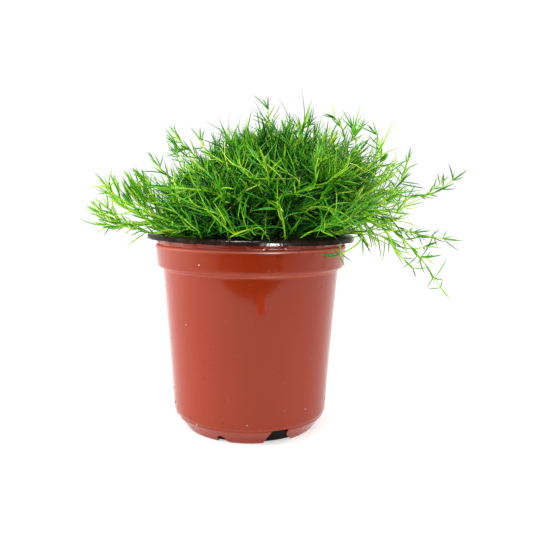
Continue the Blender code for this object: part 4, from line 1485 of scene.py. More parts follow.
SPRIGS: dict[str, Sprig] = {
    "shoot_left_low": Sprig(
        twigs=(
            ((165, 238), (146.6, 231.4), (129.7, 226.6), (118, 226.8), (106, 225.1)),
            ((121, 226), (110.1, 222.3), (104.5, 217.4), (100.3, 211.8)),
            ((134, 226.5), (122, 220), (114, 214.5), (108, 209)),
        ),
        leaves=(
            (106, 224.5, 80.6, 218, -0.35), (102.5, 216.5, 85.2, 208.2, 0.15), (101, 215, 93.9, 202.6, 0),
            (104, 217, 98.3, 202, 0.05), (106.2, 210, 104.4, 189.3, 0.2), (111.5, 211, 110.8, 196.3, 0),
            (119.9, 215, 112.2, 208.2, 0), (110, 226, 103.8, 236.3, 0.1), (132.5, 229.5, 125.5, 232.8, 0),
            (140.3, 232.5, 130.4, 236.3, 0.15), (146.6, 237, 126.2, 246.8, 0.05), (114, 222, 103, 211, 0.05),
            (118, 222, 108, 207, 0.05), (123, 223, 113, 211, 0), (128, 224, 119, 213, 0.05),
            (134, 225, 124, 215, 0), (112, 223, 98, 219, 0.1), (121, 224, 108, 220, 0.1),
        ),
    ),
    "shoot_left_middle": Sprig(
        twigs=(
            ((154, 226), (136.8, 213), (129, 210.4), (119.9, 203.3), (112.9, 194.9), (108, 187.9)),
            ((124, 207), (120.5, 199), (117.5, 189)),
        ),
        leaves=(
            (112.5, 195, 102.2, 176.7, 0), (107, 188.5, 88.3, 187.2, 0.2), (108, 194, 96.8, 194.2, 0.1),
            (109.7, 187, 112.2, 168.9, -0.15), (111, 188.5, 114.6, 179.5, 0), (113.5, 187, 116.9, 180.4, 0),
            (122.7, 204, 116.2, 186.5, -0.08), (127, 205, 112.2, 204.4, 0.1), (117, 199, 107, 186, 0.05),
            (130, 206, 120, 198, 0.05), (136, 208, 125, 203, 0), (142, 211, 132, 207, 0),
            (126, 206, 118, 194, 0),
        ),
    ),
    "shoot_left_fan": Sprig(
        twigs=(
            ((156, 229), (146.6, 218.8), (135, 208), (127.5, 195)),
            ((175.4, 235), (166.2, 225.8), (157.8, 216.7), (148, 208), (142.5, 199)),
            ((153, 214), (144, 203), (137.5, 193), (132.5, 184)),
            ((161, 214), (153, 201), (146, 190), (141.5, 181)),
            ((158, 222), (147, 211), (138, 202), (131, 191)),
            ((166, 222), (160, 210), (154.5, 199), (150, 189)),
        ),
        leaves=(
            (128, 198, 124.1, 180.2, -0.05), (133, 197, 126.2, 173.9, 0), (137, 196, 128.9, 170.3, 0),
            (141, 194, 134.4, 168.8, 0.03), (145, 193, 137, 172, 0), (148.5, 191, 141.9, 168.4, 0),
            (131, 206, 123, 194, 0.05), (135, 205, 126.5, 188, 0), (139, 204, 131, 184, 0),
            (143, 203, 135.6, 181, 0.04), (147, 203, 140, 182, 0), (151, 204, 144, 184, -0.04),
            (154, 207, 150, 187, 0), (150, 211, 143, 196, 0.05), (146, 209, 137, 197, 0),
            (141, 207, 131, 196, 0.05), (157, 210, 156, 190, 0), (148, 187, 150.4, 173.6, 0.05),
            (160, 207, 160, 189, 0), (134, 200, 124.5, 184, 0.05), (138, 199, 129, 180, 0),
            (144, 198, 136, 177, 0), (149, 200, 143, 180, 0), (153, 201, 149, 181, 0.05),
            (156, 205, 154, 184, -0.05), (163, 212, 163, 194, 0), (161, 215, 156, 199, 0.05),
            (155, 214, 147, 201, 0),
        ),
    ),
    "shoot_left_high": Sprig(
        leaves=(
            (156.5, 169.5, 146.6, 151.4, 0.05), (157.5, 171, 153.6, 154.2, 0.25),
            (162, 176, 138.2, 171.4, 0.2), (166, 178, 165.5, 160.9, 0), (169, 181, 159.6, 168, 0.05),
            (172, 183, 171, 167, 0), (176, 185, 180, 170, 0), (160, 173.5, 150, 166, 0.1),
        ),
    ),
    "shoot_left_top": Sprig(
        leaves=(
            (176.5, 142, 166.4, 133.6, 0.03), (176, 140, 173.4, 123.3, -0.2),
            (177, 138.5, 172.3, 126.7, 0.3), (193.3, 155.8, 182.6, 139.7, 0), (194, 155.8, 190.6, 139, 0.15),
            (171, 164.5, 169.7, 149.3, 0), (176, 163, 175.9, 149.3, 0), (181, 148, 178, 137, 0),
            (186, 153, 179, 146, 0.05), (172, 165, 165, 157, 0), (182, 160, 184, 155, 0),
        ),
    ),
    "shoot_front_left": Sprig(
        leaves=(
            (200.5, 141, 190.2, 127.1, 0.12), (200.5, 140, 200.6, 128, 0), (201.5, 141, 204, 128.8, -0.05),
            (203.3, 145, 214, 158.1, 0.05), (207, 155, 213.5, 141, 0), (210, 160, 201, 154, 0),
            (215, 166, 206, 160, 0), (222, 170, 229, 158, 0), (228, 174, 218, 170, 0.1),
        ),
    ),
    "shoot_top": Sprig(
        leaves=(
            (266.8, 108.4, 253, 96.5, 0.15), (266.8, 106.5, 262.6, 99.2, 0.1),
            (271.5, 118.5, 275.6, 104.3, -0.1), (267.5, 122, 252.2, 115.2, 0.15),
            (267, 120, 265.3, 114.3, 0), (272, 120, 282, 136, 0.05), (271, 122, 273.6, 138, 0),
            (262, 134, 259.3, 123.2, 0), (266, 124, 268, 137, 0),
        ),
    ),
    "shoot_top_right": Sprig(
        leaves=(
            (301.5, 129, 309.9, 104.6, -0.06), (290, 129, 290.5, 116, 0), (296, 132, 295.4, 115.4, 0),
            (297, 130, 298.4, 117, 0.03), (291, 126, 283, 120, 0.05), (307, 129, 317, 120.5, 0.03),
        ),
    ),
    "shoot_top_far_right": Sprig(
        leaves=(
            (334.7, 113.7, 332.9, 104, 0.05), (334.7, 113.7, 323, 114.5, 0.15),
            (324.8, 126, 323.1, 114.4, 0.03), (326, 128, 328.5, 115.7, 0), (338, 118, 331, 121, 0),
            (341, 128, 335, 121, 0), (343, 130, 349, 121.5, 0),
        ),
    ),
    "shoot_crest_right": Sprig(
        leaves=(
            (351, 120.5, 342.3, 110, 0.05), (351, 119, 345.5, 111.5, 0), (352, 120, 350.3, 112.5, 0),
            (353.3, 120, 353.6, 114, 0), (353.5, 117.5, 361.1, 104.3, -0.06), (357.5, 122.5, 362.6, 114, 0),
            (348, 119.5, 341, 117.7, 0.1), (353, 126, 356.5, 119, 0), (350, 130, 344, 122, 0.1),
        ),
        buds=(
            (353.6, 135.5, 353, 123.6, 3.3),
        ),
    ),
    "shoot_right_crown": Sprig(
        leaves=(
            (363.2, 134, 366.5, 124.8, -0.05), (364, 135.5, 368.7, 124.8, -0.1),
            (362.5, 138, 356.9, 123.3, 0.05), (365.7, 141, 372.6, 142.8, 0.05), (367, 152, 361, 141, 0),
            (368, 156, 375, 146, 0), (367, 163, 373, 152, 0),
        ),
        buds=(
            (384.6, 163, 386.4, 154, 2.4),
        ),
    ),
    "shoot_right_rising": Sprig(
        leaves=(
            (404.5, 163, 412.1, 151.4, -0.04), (403.8, 163.5, 406.7, 153.8, 0),
            (408, 184, 410.9, 167.1, -0.12), (411.3, 185, 411.5, 172.9, 0.12), (408, 184.5, 404.7, 176.2, 0),
            (412, 188.5, 421.3, 184.5, -0.05), (412, 190, 426.7, 188.3, 0.05),
            (386.4, 194.5, 423.7, 189.9, 0.05), (400.5, 176, 394, 165, 0.05), (401, 172, 406, 163, 0),
            (399, 181, 391, 172, 0.05), (396, 187, 388, 180, 0),
        ),
    ),
    "shoot_right_far": Sprig(
        twigs=(
            ((427, 193.7), (434, 188.5), (440.3, 183.7), (442.5, 180)),
        ),
        leaves=(
            (440.3, 183.7, 440.7, 172.1, -0.1), (441, 182, 444, 176.5, 0), (441.5, 183, 450.3, 176.2, 0),
            (453.6, 178.7, 447.4, 163.8, 0.2), (453.6, 178, 455.5, 172, 0), (454.5, 178, 465.2, 176.2, 0.2),
            (441, 191.5, 456.9, 188.7, 0.05), (428, 194, 439.5, 196.6, 0.05),
            (429.5, 191.5, 433.7, 183.7, -0.1), (409, 194, 417, 185, 0), (413, 194, 404, 186, 0),
            (420, 193.5, 425, 199.5, 0), (401, 196, 396, 204, 0.05), (392, 196, 400, 203, 0),
            (396, 195, 388, 186, 0.05),
        ),
    ),
    "shoot_right_out": Sprig(
        twigs=(
            ((386.4, 229.9), (399, 232), (409.6, 234.9), (416, 236)),
            ((406.3, 231.5), (412.1, 232.4), (418, 232)),
        ),
        leaves=(
            (449.4, 242.3, 462.7, 241, -0.03), (449.4, 242, 454.4, 236, 0),
            (442.5, 242.5, 446.5, 229.9, -0.2), (444, 244, 456.9, 250.6, 0.15),
            (410, 231.5, 413.8, 226.6, 0), (413, 232, 422, 228.6, 0.05), (413, 232.5, 425.8, 231.5, 0.05),
            (413, 234, 422.5, 236.9, 0), (420, 237, 421, 246, 0.1), (429, 240, 427.9, 236, 0),
            (432, 241.5, 438, 247.3, 0.1),
        ),
    ),
    "trailing_shoot_long": Sprig(
        twigs=(
            ((416.5, 255.6), (420.5, 257.2), (425, 258), (428, 257.6)),
            ((410, 246.5), (414, 248.8), (420, 248), (426, 246)),
        ),
        leaves=(
            (401.3, 240.7, 431.2, 234, 0.22), (401, 238.5, 381.4, 213.3, 0.38),
            (421.2, 255, 436.2, 228.2, 0.28), (437.4, 276.6, 447.4, 255.6, 0.15),
            (433.7, 278, 446.1, 280.9, 0.1), (435.7, 290, 427.5, 288.6, -0.1), (440, 287.5, 443, 282, 0),
            (440.3, 287, 451.9, 301.2, 0.02), (426, 258, 433.7, 254.8, 0.05), (426, 258, 433, 265.3, -0.2),
            (425, 257, 428.9, 251.4, 0.1), (422.9, 257.5, 416.3, 264.7, -0.2),
            (416.3, 258.5, 401.3, 269.3, -0.25), (424, 246.5, 438.2, 247.3, -0.1), (424, 247, 431.2, 244, 0),
            (424, 248, 424.6, 250.4, 0), (427.5, 270.5, 437.5, 285.5, 0),
        ),
    ),
    "trailing_shoot_middle": Sprig(
        leaves=(
            (392, 252, 393.5, 240.7, 0.15), (392.5, 252.3, 411.3, 253.9, 0.03),
            (414, 266.7, 431.2, 267.6, 0.12), (414.6, 267.2, 417.1, 278, 0.3),
        ),
    ),
    "shoot_over_rim": Sprig(
        leaves=(
            (342.3, 253.5, 352.4, 262.2, -0.05), (337.5, 255, 344.5, 266.8, 0),
            (339, 254.5, 338.2, 241.5, 0), (336, 255, 319, 254, 0.12), (336.5, 255, 324.5, 258.5, 0.05),
            (365.7, 237.3, 362.4, 257.7, -0.12), (369.8, 238.2, 371.5, 248.1, 0),
            (378.9, 234.9, 370.7, 253.1, -0.22), (340, 254, 331, 248, 0),
        ),
    ),
}

# Each shoot is the places that it passes: pixels across and down, read off the photograph, and a
# guessed depth in millimetres.
FRONT_SPRAYS: tuple[tuple[tuple[float, float, float], ...], ...] = (
    ((252, 240, -40), (235, 233, -44), (229, 222, -46), (218.5, 214.4, -46), (196.5, 205.6, -43),
     (189, 198, -41)),
    ((252, 239, -40), (246.5, 227.6, -43), (243, 216, -45), (242, 211, -45)),
    ((270, 241, -40), (264, 232, -43), (259.7, 227.6, -45), (252, 229, -47)),
    ((285, 240, -40), (284, 224.7, -43), (280.3, 210, -45), (279.6, 198, -45), (285, 193.5, -44)),
    ((262, 200, -38), (268, 189, -41), (268.5, 176, -43), (265, 168, -44), (257, 158.5, -42)),
    ((268.5, 179, -43), (251, 178, -43.5), (246.5, 173, -43), (240.6, 166, -42), (239, 158.5, -40)),
    ((296, 200, -38), (300, 191, -42), (312, 189.4, -43), (315.6, 180.6, -43), (315.6, 168.8, -42),
     (318.5, 157, -40)),
    ((299, 192, -42), (298, 180.6, -43), (287.6, 173, -43)),
    ((305, 212, -40), (312.6, 207, -43), (328.8, 207.8, -44), (345, 214.4, -42)),
    ((333, 236, -39), (321.5, 230.6, -43), (326, 226, -45), (346.5, 220, -44), (356, 212, -41)),
    ((249.4, 207, -42), (236, 198, -44), (221.5, 189.4, -43), (213, 180, -41)),
    ((326, 184, -38), (336, 174.7, -41), (346.5, 167.4, -41), (350, 155.6, -38)),
    ((202, 239, -38), (198, 230.6, -42), (192, 226, -44), (184, 219, -44)),
    ((229, 240, -39), (226, 227.6, -43), (218.5, 218.8, -45), (210, 215, -45)),
    ((212, 192, -40), (196, 189.5, -43), (180, 188, -42), (170, 187, -40)),
    ((300, 238, -39), (310, 232, -43), (322, 229, -45), (331, 222, -46)),
)

SIDE_SPRAYS: tuple[tuple[tuple[float, float, float], ...], ...] = (
    ((352, 206, -14), (366, 200, -10), (380, 192, -6), (391, 189, -4)),
    ((356, 226, -16), (372, 216, -14), (386, 206, -12), (394, 196, -10)),
    ((358, 233, -14), (374, 229, -12), (388, 223, -12), (397, 213, -12)),
    ((350, 195, -6), (364, 188, -4), (377, 178, -2), (385, 171, 0)),
    ((360, 216, 2), (378, 211, 4), (392, 212, 6), (404, 207, 8)),
    ((352, 238, -24), (368, 234, -22), (382, 237, -22), (392, 245, -22)),
    ((346, 181, -20), (360, 174, -18), (370, 165, -16), (376, 155, -14)),
    ((356, 198, -24), (370, 192, -22), (384, 181, -20), (391, 172, -18)),
    ((350, 218, -28), (364, 212, -27), (378, 203, -26), (386, 200, -25)),
)


def smooth_route(points: np.ndarray, count: int) -> np.ndarray:
    """Even steps along a Catmull-Rom curve through the points.

    Args:
        points: The points that it passes.
        count: How many points to give.

    Returns:
        The points along the curve, evenly spaced.
    """
    padded = np.concatenate([[2 * points[0] - points[1]], points, [2 * points[-1] - points[-2]]])
    a, b, c, d = padded[:-3], padded[1:-2], padded[2:-1], padded[3:]
    share = np.arange(24)[None, :, None] / 24
    square = (2 * a - 5 * b + 4 * c - d)[:, None] * share ** 2
    cube = (3 * b - a - 3 * c + d)[:, None] * share ** 3
    dense = 0.5 * (2 * b[:, None] + (c - a)[:, None] * share + square + cube)
    dense = np.concatenate([dense.reshape(-1, 3), points[-1:]])
    lengths = np.concatenate([[0.0], np.cumsum(np.linalg.norm(np.diff(dense, axis=0), axis=1))])
    targets = np.linspace(0.0, lengths[-1], count)
    return np.stack([np.interp(targets, lengths, dense[:, axis]) for axis in range(3)], axis=-1)

@dataclass
class Shoot:
    """One shoot: a smooth tapering stem with leaves at its nodes and a tuft at its tip.

    A long shoot has its measured twigs and leaves as well. The leaves at its nodes lean away from the
    stem by an angle, and a sideways share under 1 turns them to point forwards and backwards.
    """

    pot: Pot
    points: np.ndarray
    seed: int
    sprig: Sprig | None = None
    radius: float = 0.46
    node_spacing: float = 5.0
    leaf_length: tuple[float, float] = (7.0, 11.0)
    leaf_width: float = 0.72
    tip_leaves: int = 6
    node_leaves: int = 3
    lean: float = 46.0
    sideways: float = 1.0
    curl: float = 0.17
    tone: float = 0.5
    stem_tone: float = 0.86
    steps: int = 30

    def add_stem(self, surface: Surface, route: np.ndarray, radius: float) -> None:
        """Add a stem along a route, which tapers by a third and gets younger towards its tip."""
        count = len(route)
        taper = radius * np.linspace(1.0, 0.62, count)[None]
        add_stems(surface, route[None], taper, self.stem_tone * np.linspace(0.8, 1.0, count)[None], 6)

    def node_whorls(self, route: np.ndarray, rng: np.random.Generator) -> Leaves:
        """Leaves at even nodes along the route: each node's leaves turn against the last's."""
        count = len(route)
        length = float(np.sum(np.linalg.norm(np.diff(route, axis=0), axis=1)))
        places = np.arange(length, min(4.0, length * 0.3), -self.node_spacing)
        share = places / length * (count - 1)
        below = np.minimum(share.astype(int), count - 2)
        root = route[below] + (route[below + 1] - route[below]) * (share - below)[:, None]
        run = unit(route[below + 1] - route[below])
        leaves = np.full(len(places), self.node_leaves)
        leaves[0] = self.tip_leaves
        node = np.repeat(np.arange(len(places)), leaves)
        total = len(node)
        within = np.arange(total) - np.repeat(np.cumsum(leaves) - leaves, leaves)
        turn = node * 1.5 + math.tau * within / leaves[node] + rng.normal(0.0, 0.4, total)
        side = spin(side_of(run)[node], run[node], turn)
        side = unit(side * np.array([self.sideways, 1.0, self.sideways]))
        side = unit(side - run[node] * np.sum(side * run[node], axis=1, keepdims=True))
        lean = np.radians(rng.normal(np.where(node == 0, 0.6 * self.lean, self.lean), 12.0))[:, None]
        return Leaves(
            roots=root[node] - run[node] * rng.uniform(0.0, 0.8, (total, 1)),
            along=unit(run[node] * np.cos(lean) + side * np.sin(lean)),
            across=unit(np.cross(run[node], side)),
            lengths=rng.uniform(*self.leaf_length, total),
            widths=self.leaf_width * rng.uniform(0.8, 1.1, total),
            bends=rng.normal(0.05, self.curl, total),
            tones=np.clip(self.tone + rng.normal(0.0, 0.15, total), 0.05, 0.95),
        )

    def measured_leaves(self, stems: np.ndarray, table: np.ndarray, rng: np.random.Generator) -> Leaves:
        """Leaves from their roots, tips and bends as seen from the front.

        A leaf sets off from the point of a stem that shows nearest its root. With chord c and bend b it
        starts along the chord's direction less b normals, so that its curved end still meets the tip.

        Args:
            stems: The points of the stem and its twigs.
            table: Root, tip and bend, one row a leaf, in the photograph's pixels.
            rng: Spreads the tips in depth.

        Returns:
            The leaves.
        """
        count = len(table)
        apart = table[:, None, :2] - PHOTO_CAMERA.pixels(stems)[None]
        start = stems[np.argmin(np.sum(apart ** 2, axis=-1), axis=1)]
        end = PHOTO_CAMERA.places(table[:, 2:4], start[:, 1])
        end[:, 1] += rng.normal(0.0, 2.0, count)
        length = np.linalg.norm(end - start, axis=1)
        toward = (end - start) / length[:, None]
        back = np.array([0.0, 1.0, 0.0])
        across = unit(back - toward * toward[:, 1:2])
        bend = table[:, 4]
        return Leaves(
            roots=start,
            along=unit(toward - np.cross(toward, across) * bend[:, None]),
            across=across,
            lengths=length / np.sqrt(1.0 + bend ** 2),
            widths=self.leaf_width * rng.uniform(0.85, 1.1, count),
            bends=bend,
            tones=np.clip(self.tone + rng.normal(0.0, 0.16, count), 0.05, 0.95),
        )

    def twig_route(self, route: np.ndarray, twig: tuple[tuple[float, float], ...]) -> np.ndarray:
        """A twig's smooth route, from its measured pixels and the depth of the stem where it starts."""
        flat = np.array(twig)
        apart = np.sum((PHOTO_CAMERA.pixels(route) - flat[0]) ** 2, axis=1)
        depth = np.full(len(flat), route[np.argmin(apart), 1])
        return smooth_route(PHOTO_CAMERA.places(flat, depth), 14)

    def add_to(self, surface: Surface) -> None:
        """Add the stem, its twigs, its leaves and its buds to a surface."""
        rng = np.random.default_rng(self.seed)
        route = smooth_route(self.points, self.steps)
        stems = [route]
        if self.sprig is not None:
            stems += [self.twig_route(route, twig) for twig in self.sprig.twigs]
        for number, stem in enumerate(stems):
            self.add_stem(surface, stem, self.radius * (1.0 if number == 0 else 0.8))
            self.node_whorls(stem, rng).clear_of(self.pot).add_to(surface, LONG_NEEDLE)
        if self.sprig is None:
            return
        joined = np.concatenate(stems)
        self.measured_leaves(joined, np.array(self.sprig.leaves), rng).add_to(surface, LONG_NEEDLE)
        if self.sprig.buds:
            table = np.array(self.sprig.buds)
            buds = self.measured_leaves(joined, table * np.array([1.0, 1.0, 1.0, 1.0, 0.0]), rng)
            buds.widths = table[:, 4] * 0.8
            buds.add_to(surface, BUD)

    def build(self, name: str, material: bpy.types.Material) -> bpy.types.Object:
        """Make the shoot as one piece."""
        surface = Surface()
        self.add_to(surface)
        return surface.build(name, [material], mapped=True)


def ring_route(node: bpy.types.Object, centre: np.ndarray, pull: float) -> np.ndarray:
    """Foot, middle and tip of a short shoot, from its CAD node.

    The foot is the mean of the tenth of its vertices nearest the cushion's centre, and the tip is the
    mean of the twentieth farthest from it, pulled back to leave room for the leaves.

    Args:
        node: The CAD node's object.
        centre: The cushion's centre, in millimetres.
        pull: How far the tip is pulled back.

    Returns:
        The three points.
    """
    flat = np.zeros(len(node.data.vertices) * 3, np.float32)
    node.data.vertices.foreach_get("co", flat)
    points = flat.reshape(-1, 3).astype(float) / MM
    away = np.linalg.norm(points - centre, axis=1)
    order = np.argsort(away)
    foot = points[order[: max(3, len(order) // 10)]].mean(0)
    tip = points[order[-max(3, len(order) // 20) :]].mean(0)
    run = unit(tip - foot)
    tip = tip - run * pull
    middle = (foot + tip) / 2 - np.array([0.0, 0.0, 0.6])
    return np.stack([foot - run * 6.0, middle, tip])

def build_front_sprays(pot: Pot, material: bpy.types.Material) -> bpy.types.Object:
    """The young shoots that arch over the mat's front and right side and show their stems, as one piece."""
    surface = Surface()
    for number, row in enumerate(FRONT_SPRAYS + SIDE_SPRAYS):
        is_side = number >= len(FRONT_SPRAYS)
        points = np.array(row)
        Shoot(
            pot, PHOTO_CAMERA.places(points[:, :2], points[:, 2]), 500 + number, radius=0.3, node_spacing=3.6, leaf_length=(6.5, 12.0),
            leaf_width=0.6, tip_leaves=4, node_leaves=3, curl=0.55, tone=0.7 if is_side else 0.5,
            stem_tone=0.88 if is_side else 0.84, steps=16,
        ).add_to(surface)
    return surface.build("moss_front_sprays", [material], mapped=True)


# Grit stuck to the pot


def build_grit(pot: Pot, light: bpy.types.Material, dark: bpy.types.Material) -> list[bpy.types.Object]:
    """Specks of perlite and peat stuck to the pot's outside.

    Each speck that the photograph shows is read off it: pixels across and down, and its size in
    millimetres. The others are scattered round the sides and the back.

    Args:
        pot: The pot whose outside carries them.
        light: The finish of the perlite specks.
        dark: The finish of the peat specks.

    Returns:
        The two pieces.
    """
    rng = np.random.default_rng(71)
    outside = pot.outer_profile()
    order = np.argsort(outside[:, 1])
    wall = outside[order]
    wall = wall[wall[:, 0] > 28.0]
    made = []
    white = np.array([(199.0, 265.0, 0.34), (197.0, 425.0, 0.3), (247.0, 425.6, 0.24), (186.0, 325.0, 0.26)])
    brown = np.array([
        (203.4, 379.0, 0.3), (190.6, 417.4, 0.42), (212.5, 428.0, 0.34), (233.0, 427.0, 0.24),
        (279.0, 257.0, 0.3), (262.0, 251.0, 0.3), (299.0, 253.0, 0.26), (173.9, 387.7, 0.32),
        (175.6, 402.0, 0.3), (222.0, 424.0, 0.36), (210.0, 430.0, 0.22), (296.0, 416.0, 0.2),
        (269.0, 395.0, 0.2),
    ])
    for name, specks, extra, material in (
        ("perlite_specks_on_pot", white, 14, light),
        ("peat_specks_on_pot", brown, 110, dark),
    ):
        seen = PHOTO_CAMERA.on_wall(specks[:, :2], wall)
        bearing = np.concatenate([np.degrees(np.arctan2(seen[:, 0], -seen[:, 1])), rng.uniform(30.0, 330.0, extra)])
        height = np.concatenate([seen[:, 2], 3.0 + 76.0 * rng.uniform(0.0, 1.0, extra) ** 2.2])
        size = np.concatenate([specks[:, 2], rng.uniform(0.1, 0.24, extra)])
        radius = np.interp(height, wall[:, 1], wall[:, 0])
        centres = turned(np.radians(bearing), radius + 0.05, height)
        made.append(lumps(name, centres, size, material, rng))
    return made


# Stage


@dataclass
class Studio:
    """White floor and surround, soft light, and the camera at the photograph's place."""

    sensor: float = 36.0
    floor_glow: float = 0.5
    table_outline: tuple[tuple[float, float], ...] = (
        (-1500, -1500), (1500, -1500), (1500, -300), (460, -20), (184, -221), (-175, -229), (-460, -40), (-1500, -300),
    )
    dark_outline: tuple[tuple[float, float], ...] = (
        (-190, -300), (190, -300), (184, -219), (136, -237), (106, -236), (82, -228), (67, -225), (22, -217),
        (7, -224), (-40, -234), (-97, -240), (-175, -228),
    )
    orange_outline: tuple[tuple[float, float], ...] = ((33, -238), (65, -231), (54, -187), (28, -192))

    def place_camera(self) -> None:
        """Make the scene's camera: behind the front, level turned down by the pitch, with a small shift."""
        data = bpy.data.cameras.new("camera")
        data.sensor_width = self.sensor
        data.lens = PHOTO_CAMERA.focal / PHOTO_CAMERA.frame * self.sensor
        data.shift_x = 0.5 - PHOTO_CAMERA.middle_across / PHOTO_CAMERA.frame
        data.clip_start = 0.01
        camera = bpy.data.objects.new("camera", data)
        camera.location = (0.0, -PHOTO_CAMERA.distance * MM, PHOTO_CAMERA.height * MM)
        down = Matrix.Rotation(math.pi / 2 - PHOTO_CAMERA.pitch, 3, "X")
        tilt = down @ Matrix.Rotation(PHOTO_CAMERA.roll, 3, "Z")
        camera.rotation_euler = tilt.to_euler()
        bpy.context.scene.collection.objects.link(camera)
        bpy.context.scene.camera = camera

    def lay_sheet(
        self, name: str, outline: tuple[tuple[float, float], ...], height: float,
        material: bpy.types.Material, is_seen: bool = True, is_felt: bool = True,
    ) -> None:
        """Lay a flat sheet on the stage, facing up.

        Args:
            name: The sheet's name.
            outline: Its corners in millimetres, anticlockwise from above.
            height: Its height above the ground in millimetres.
            material: Its finish.
            is_seen: Whether the camera sees it.
            is_felt: Whether the pot mirrors it and it takes light away.
        """
        flat = np.array(outline)
        sheet = Surface()
        first = sheet.add_points(np.column_stack([flat, np.full(len(flat), height)]))
        sheet.add_faces(first + np.arange(len(flat))[None])
        laid = sheet.build(name, [material])
        laid.visible_camera = is_seen
        laid.visible_diffuse = laid.visible_glossy = laid.visible_shadow = is_felt

    def lay_floor(self) -> None:
        """Lay a wide white paper floor, and the dark and the warm thing that the pot's gloss mirrors.

        The paper's front edge is a little wavy. Past it the table is black in the middle and far away,
        and turns grey towards both sides near the pot, as the soft light reaches it. Only the pot's
        gloss shows the table and the things on it: another sheet of paper hides them from the camera.
        The orange card glows though it is no lamp: a painted light for the warm bar mirrored on the pot.
        """
        paper, _, shader = new_material("white_paper_floor")
        shader.inputs["Base Color"].default_value = (0.6, 0.6, 0.6, 1.0)
        shader.inputs["Roughness"].default_value = 0.9
        shader.inputs["Specular IOR Level"].default_value = 0.0
        shader.inputs["Emission Color"].default_value = (1.0, 1.0, 1.0, 1.0)
        shader.inputs["Emission Strength"].default_value = self.floor_glow
        dark, _, shader = new_material("dark_card")
        shader.inputs["Base Color"].default_value = linear("050505")
        shader.inputs["Roughness"].default_value = 0.9
        shader.inputs["Specular IOR Level"].default_value = 0.0
        shaded, tree, shader = new_material("table_in_shade")
        place = add_node(tree, "TexCoord").outputs["Object"]
        across = add_node(tree, "SeparateXYZ", links={"Vector": place}).outputs["X"]
        apart = add_node(tree, "Math", {"operation": "ABSOLUTE"}, links={0: across}).outputs["Value"]
        level = add_node(
            tree, "MapRange", values={"From Min": 0.05, "From Max": 0.42, "To Max": 0.85}, links={"Value": apart}
        ).outputs["Result"]
        away = add_node(tree, "VectorMath", {"operation": "LENGTH"}, links={0: place}).outputs["Value"]
        shade = add_node(
            tree, "MapRange", values={"From Min": 0.62, "From Max": 0.8, "To Min": 1.0, "To Max": 0.02},
            links={"Value": away},
        ).outputs["Result"]
        lit = add_node(tree, "Math", {"operation": "MULTIPLY"}, links={0: level, 1: shade}).outputs["Value"]
        tree.links.new(lit, shader.inputs["Base Color"])
        shader.inputs["Roughness"].default_value = 0.9
        shader.inputs["Specular IOR Level"].default_value = 0.0
        # The orange card glows though it is no lamp: painted light, mirrored by the pot as a warm bar.
        warm, _, shader = new_material("orange_card")
        shader.inputs["Base Color"].default_value = linear("c02804")
        shader.inputs["Specular IOR Level"].default_value = 0.0
        shader.inputs["Emission Color"].default_value = linear("ff3808")
        shader.inputs["Emission Strength"].default_value = 3.2
        self.lay_sheet("paper_floor", ((-4000, -4000), (4000, -4000), (4000, 4000), (-4000, 4000)), 0.0, paper)
        self.lay_sheet("table_in_front", self.table_outline, 0.4, shaded, is_seen=False)
        self.lay_sheet("dark_card_in_front", self.dark_outline, 0.6, dark, is_seen=False)
        self.lay_sheet("orange_card_in_front", self.orange_outline, 1.0, warm, is_seen=False)
        cover = tuple((x, y + 20) for x, y in self.table_outline)
        self.lay_sheet("paper_over_table", cover, 1.4, paper, is_felt=False)

    def light(self) -> None:
        """Light the stage from a white surround and soft boxes."""
        world = bpy.data.worlds.new("white_surround")
        world.use_nodes = True
        background = world.node_tree.nodes["Background"]
        background.inputs["Color"].default_value = (1.0, 1.0, 1.0, 1.0)
        background.inputs["Strength"].default_value = 1.0
        bpy.context.scene.world = world
        for name, place, size, power, is_mirrored, is_lighting in (
            ("soft_box_left", (-780, -60, 330), (500, 500), 8.6, False, True),
            ("soft_box_right", (780, -60, 330), (500, 500), 2.8, False, True),
            ("soft_box_top", (60, -120, 900), (500, 500), 3.0, True, True),
            ("small_lamp_front", (225, -545, 105), (80, 150), 9.0, True, False),
            ("small_lamp_above", (-80, -330, 560), (240, 240), 14.0, True, False),
        ):
            data = bpy.data.lights.new(name, "AREA")
            data.shape = "RECTANGLE"
            data.size = size[0] * MM
            data.size_y = size[1] * MM
            data.energy = power
            lamp = bpy.data.objects.new(name, data)
            lamp.visible_glossy = is_mirrored
            lamp.visible_diffuse = is_lighting
            lamp.location = [value * MM for value in place]
            aim = Vector((0.0, 0.0, 0.09)) - lamp.location
            lamp.rotation_euler = aim.to_track_quat("-Z", "Y").to_euler()
            bpy.context.scene.collection.objects.link(lamp)
        bpy.context.scene.view_settings.view_transform = "Standard"


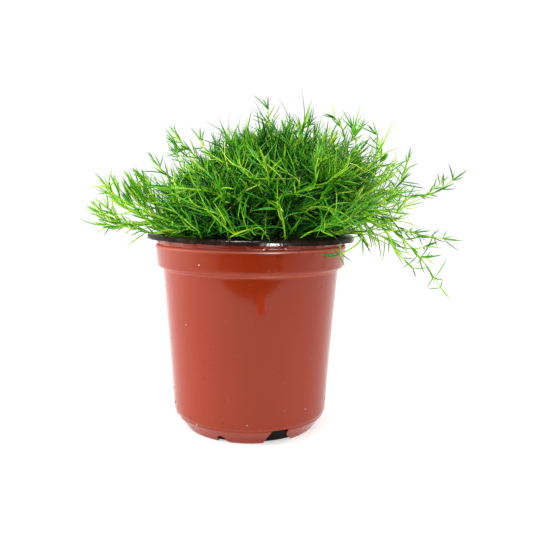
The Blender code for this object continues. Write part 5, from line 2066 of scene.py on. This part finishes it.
def main() -> None:
    """Build the pot, the mix and the moss, and set the stage."""
    logging.basicConfig(level=logging.INFO, format="%(message)s")
    studio = Studio()
    studio.place_camera()
    studio.lay_floor()
    studio.light()

    pot = Pot()
    peat = DampPeat().make()
    perlite = ExpandedPerlite().make()
    lip = DarkSheet().make()
    # The inside's darker body and dust are painted shade for the shadowed inside seen through the notches.
    inside = DarkSheet("black_polystyrene_inside", body="0b0705", dust="17100c", roughness=0.6, gloss=0.05).make()
    ride(pot.build([TerracottaSheet().make(), lip, inside]), Slot.POT.value, "pot")
    for piece in build_grit(pot, perlite, peat):
        ride(piece, Slot.MIX.value)

    mix = PottingMix(pot)
    ride(mix.build(peat), Slot.MIX.value, "potting_mix")
    ride(mix.build_grains("peat_crumbs", mix.crumb_count, (0.5, 1.3), peat, 51), Slot.MIX.value)
    ride(mix.build_grains("perlite_granules", mix.perlite_count, (0.8, 1.6), perlite, 52), Slot.MIX.value)

    cushion = Cushion(pot)
    leaf = LivingLeaf().make("living_moss_leaf")
    ride(cushion.build_core(MossUndergrowth().make()), Slot.MAT.value, "moss_mat")
    ride(cushion.build_undergrowth(leaf), Slot.MAT.value, "moss_mat")
    for piece in cushion.build_canopy(leaf):
        ride(piece, Slot.MAT.value, "moss_mat")
    ride(build_front_sprays(pot, leaf), Slot.MAT.value, "moss_mat")

    shoot_leaf = LivingLeaf().make("living_moss_shoot")
    for number, (name, points) in enumerate(LONG_SHOOTS.items()):
        form = dict(sideways=0.35, node_leaves=2, tip_leaves=1, leaf_length=(5.0, 8.0), tone=0.52)
        if name in BUSHY_SHOOTS:
            form = dict(sideways=0.9, lean=19.0, node_spacing=2.0, node_leaves=2, tip_leaves=2,
                        leaf_length=(5.5, 8.5), tone=0.66, leaf_width=0.82)
        shoot = Shoot(pot, np.array(points, float), 100 + number, SPRIGS[name], **form)
        ride(shoot.build(name + "_foliage", shoot_leaf), Slot.SHOOT.value, name)
    centre = np.array([6.0, 0.0, 92.0])
    ring_names = sorted(name for name in frame["nodes"] if name not in LONG_SHOOTS and name.startswith("shoot_"))
    for number, name in enumerate(ring_names):
        route = ring_route(frame["nodes"][name], centre, RING_PULLS[name.split("_")[1]])
        shoot = Shoot(
            pot, route, 300 + number, radius=0.28, lean=28.0, leaf_length=(4.5, 8.5), leaf_width=0.6,
            node_spacing=3.0, curl=0.3,
        )
        ride(shoot.build(name + "_foliage", shoot_leaf), Slot.SHOOT.value, name)


if __name__ == "__main__":
    main()
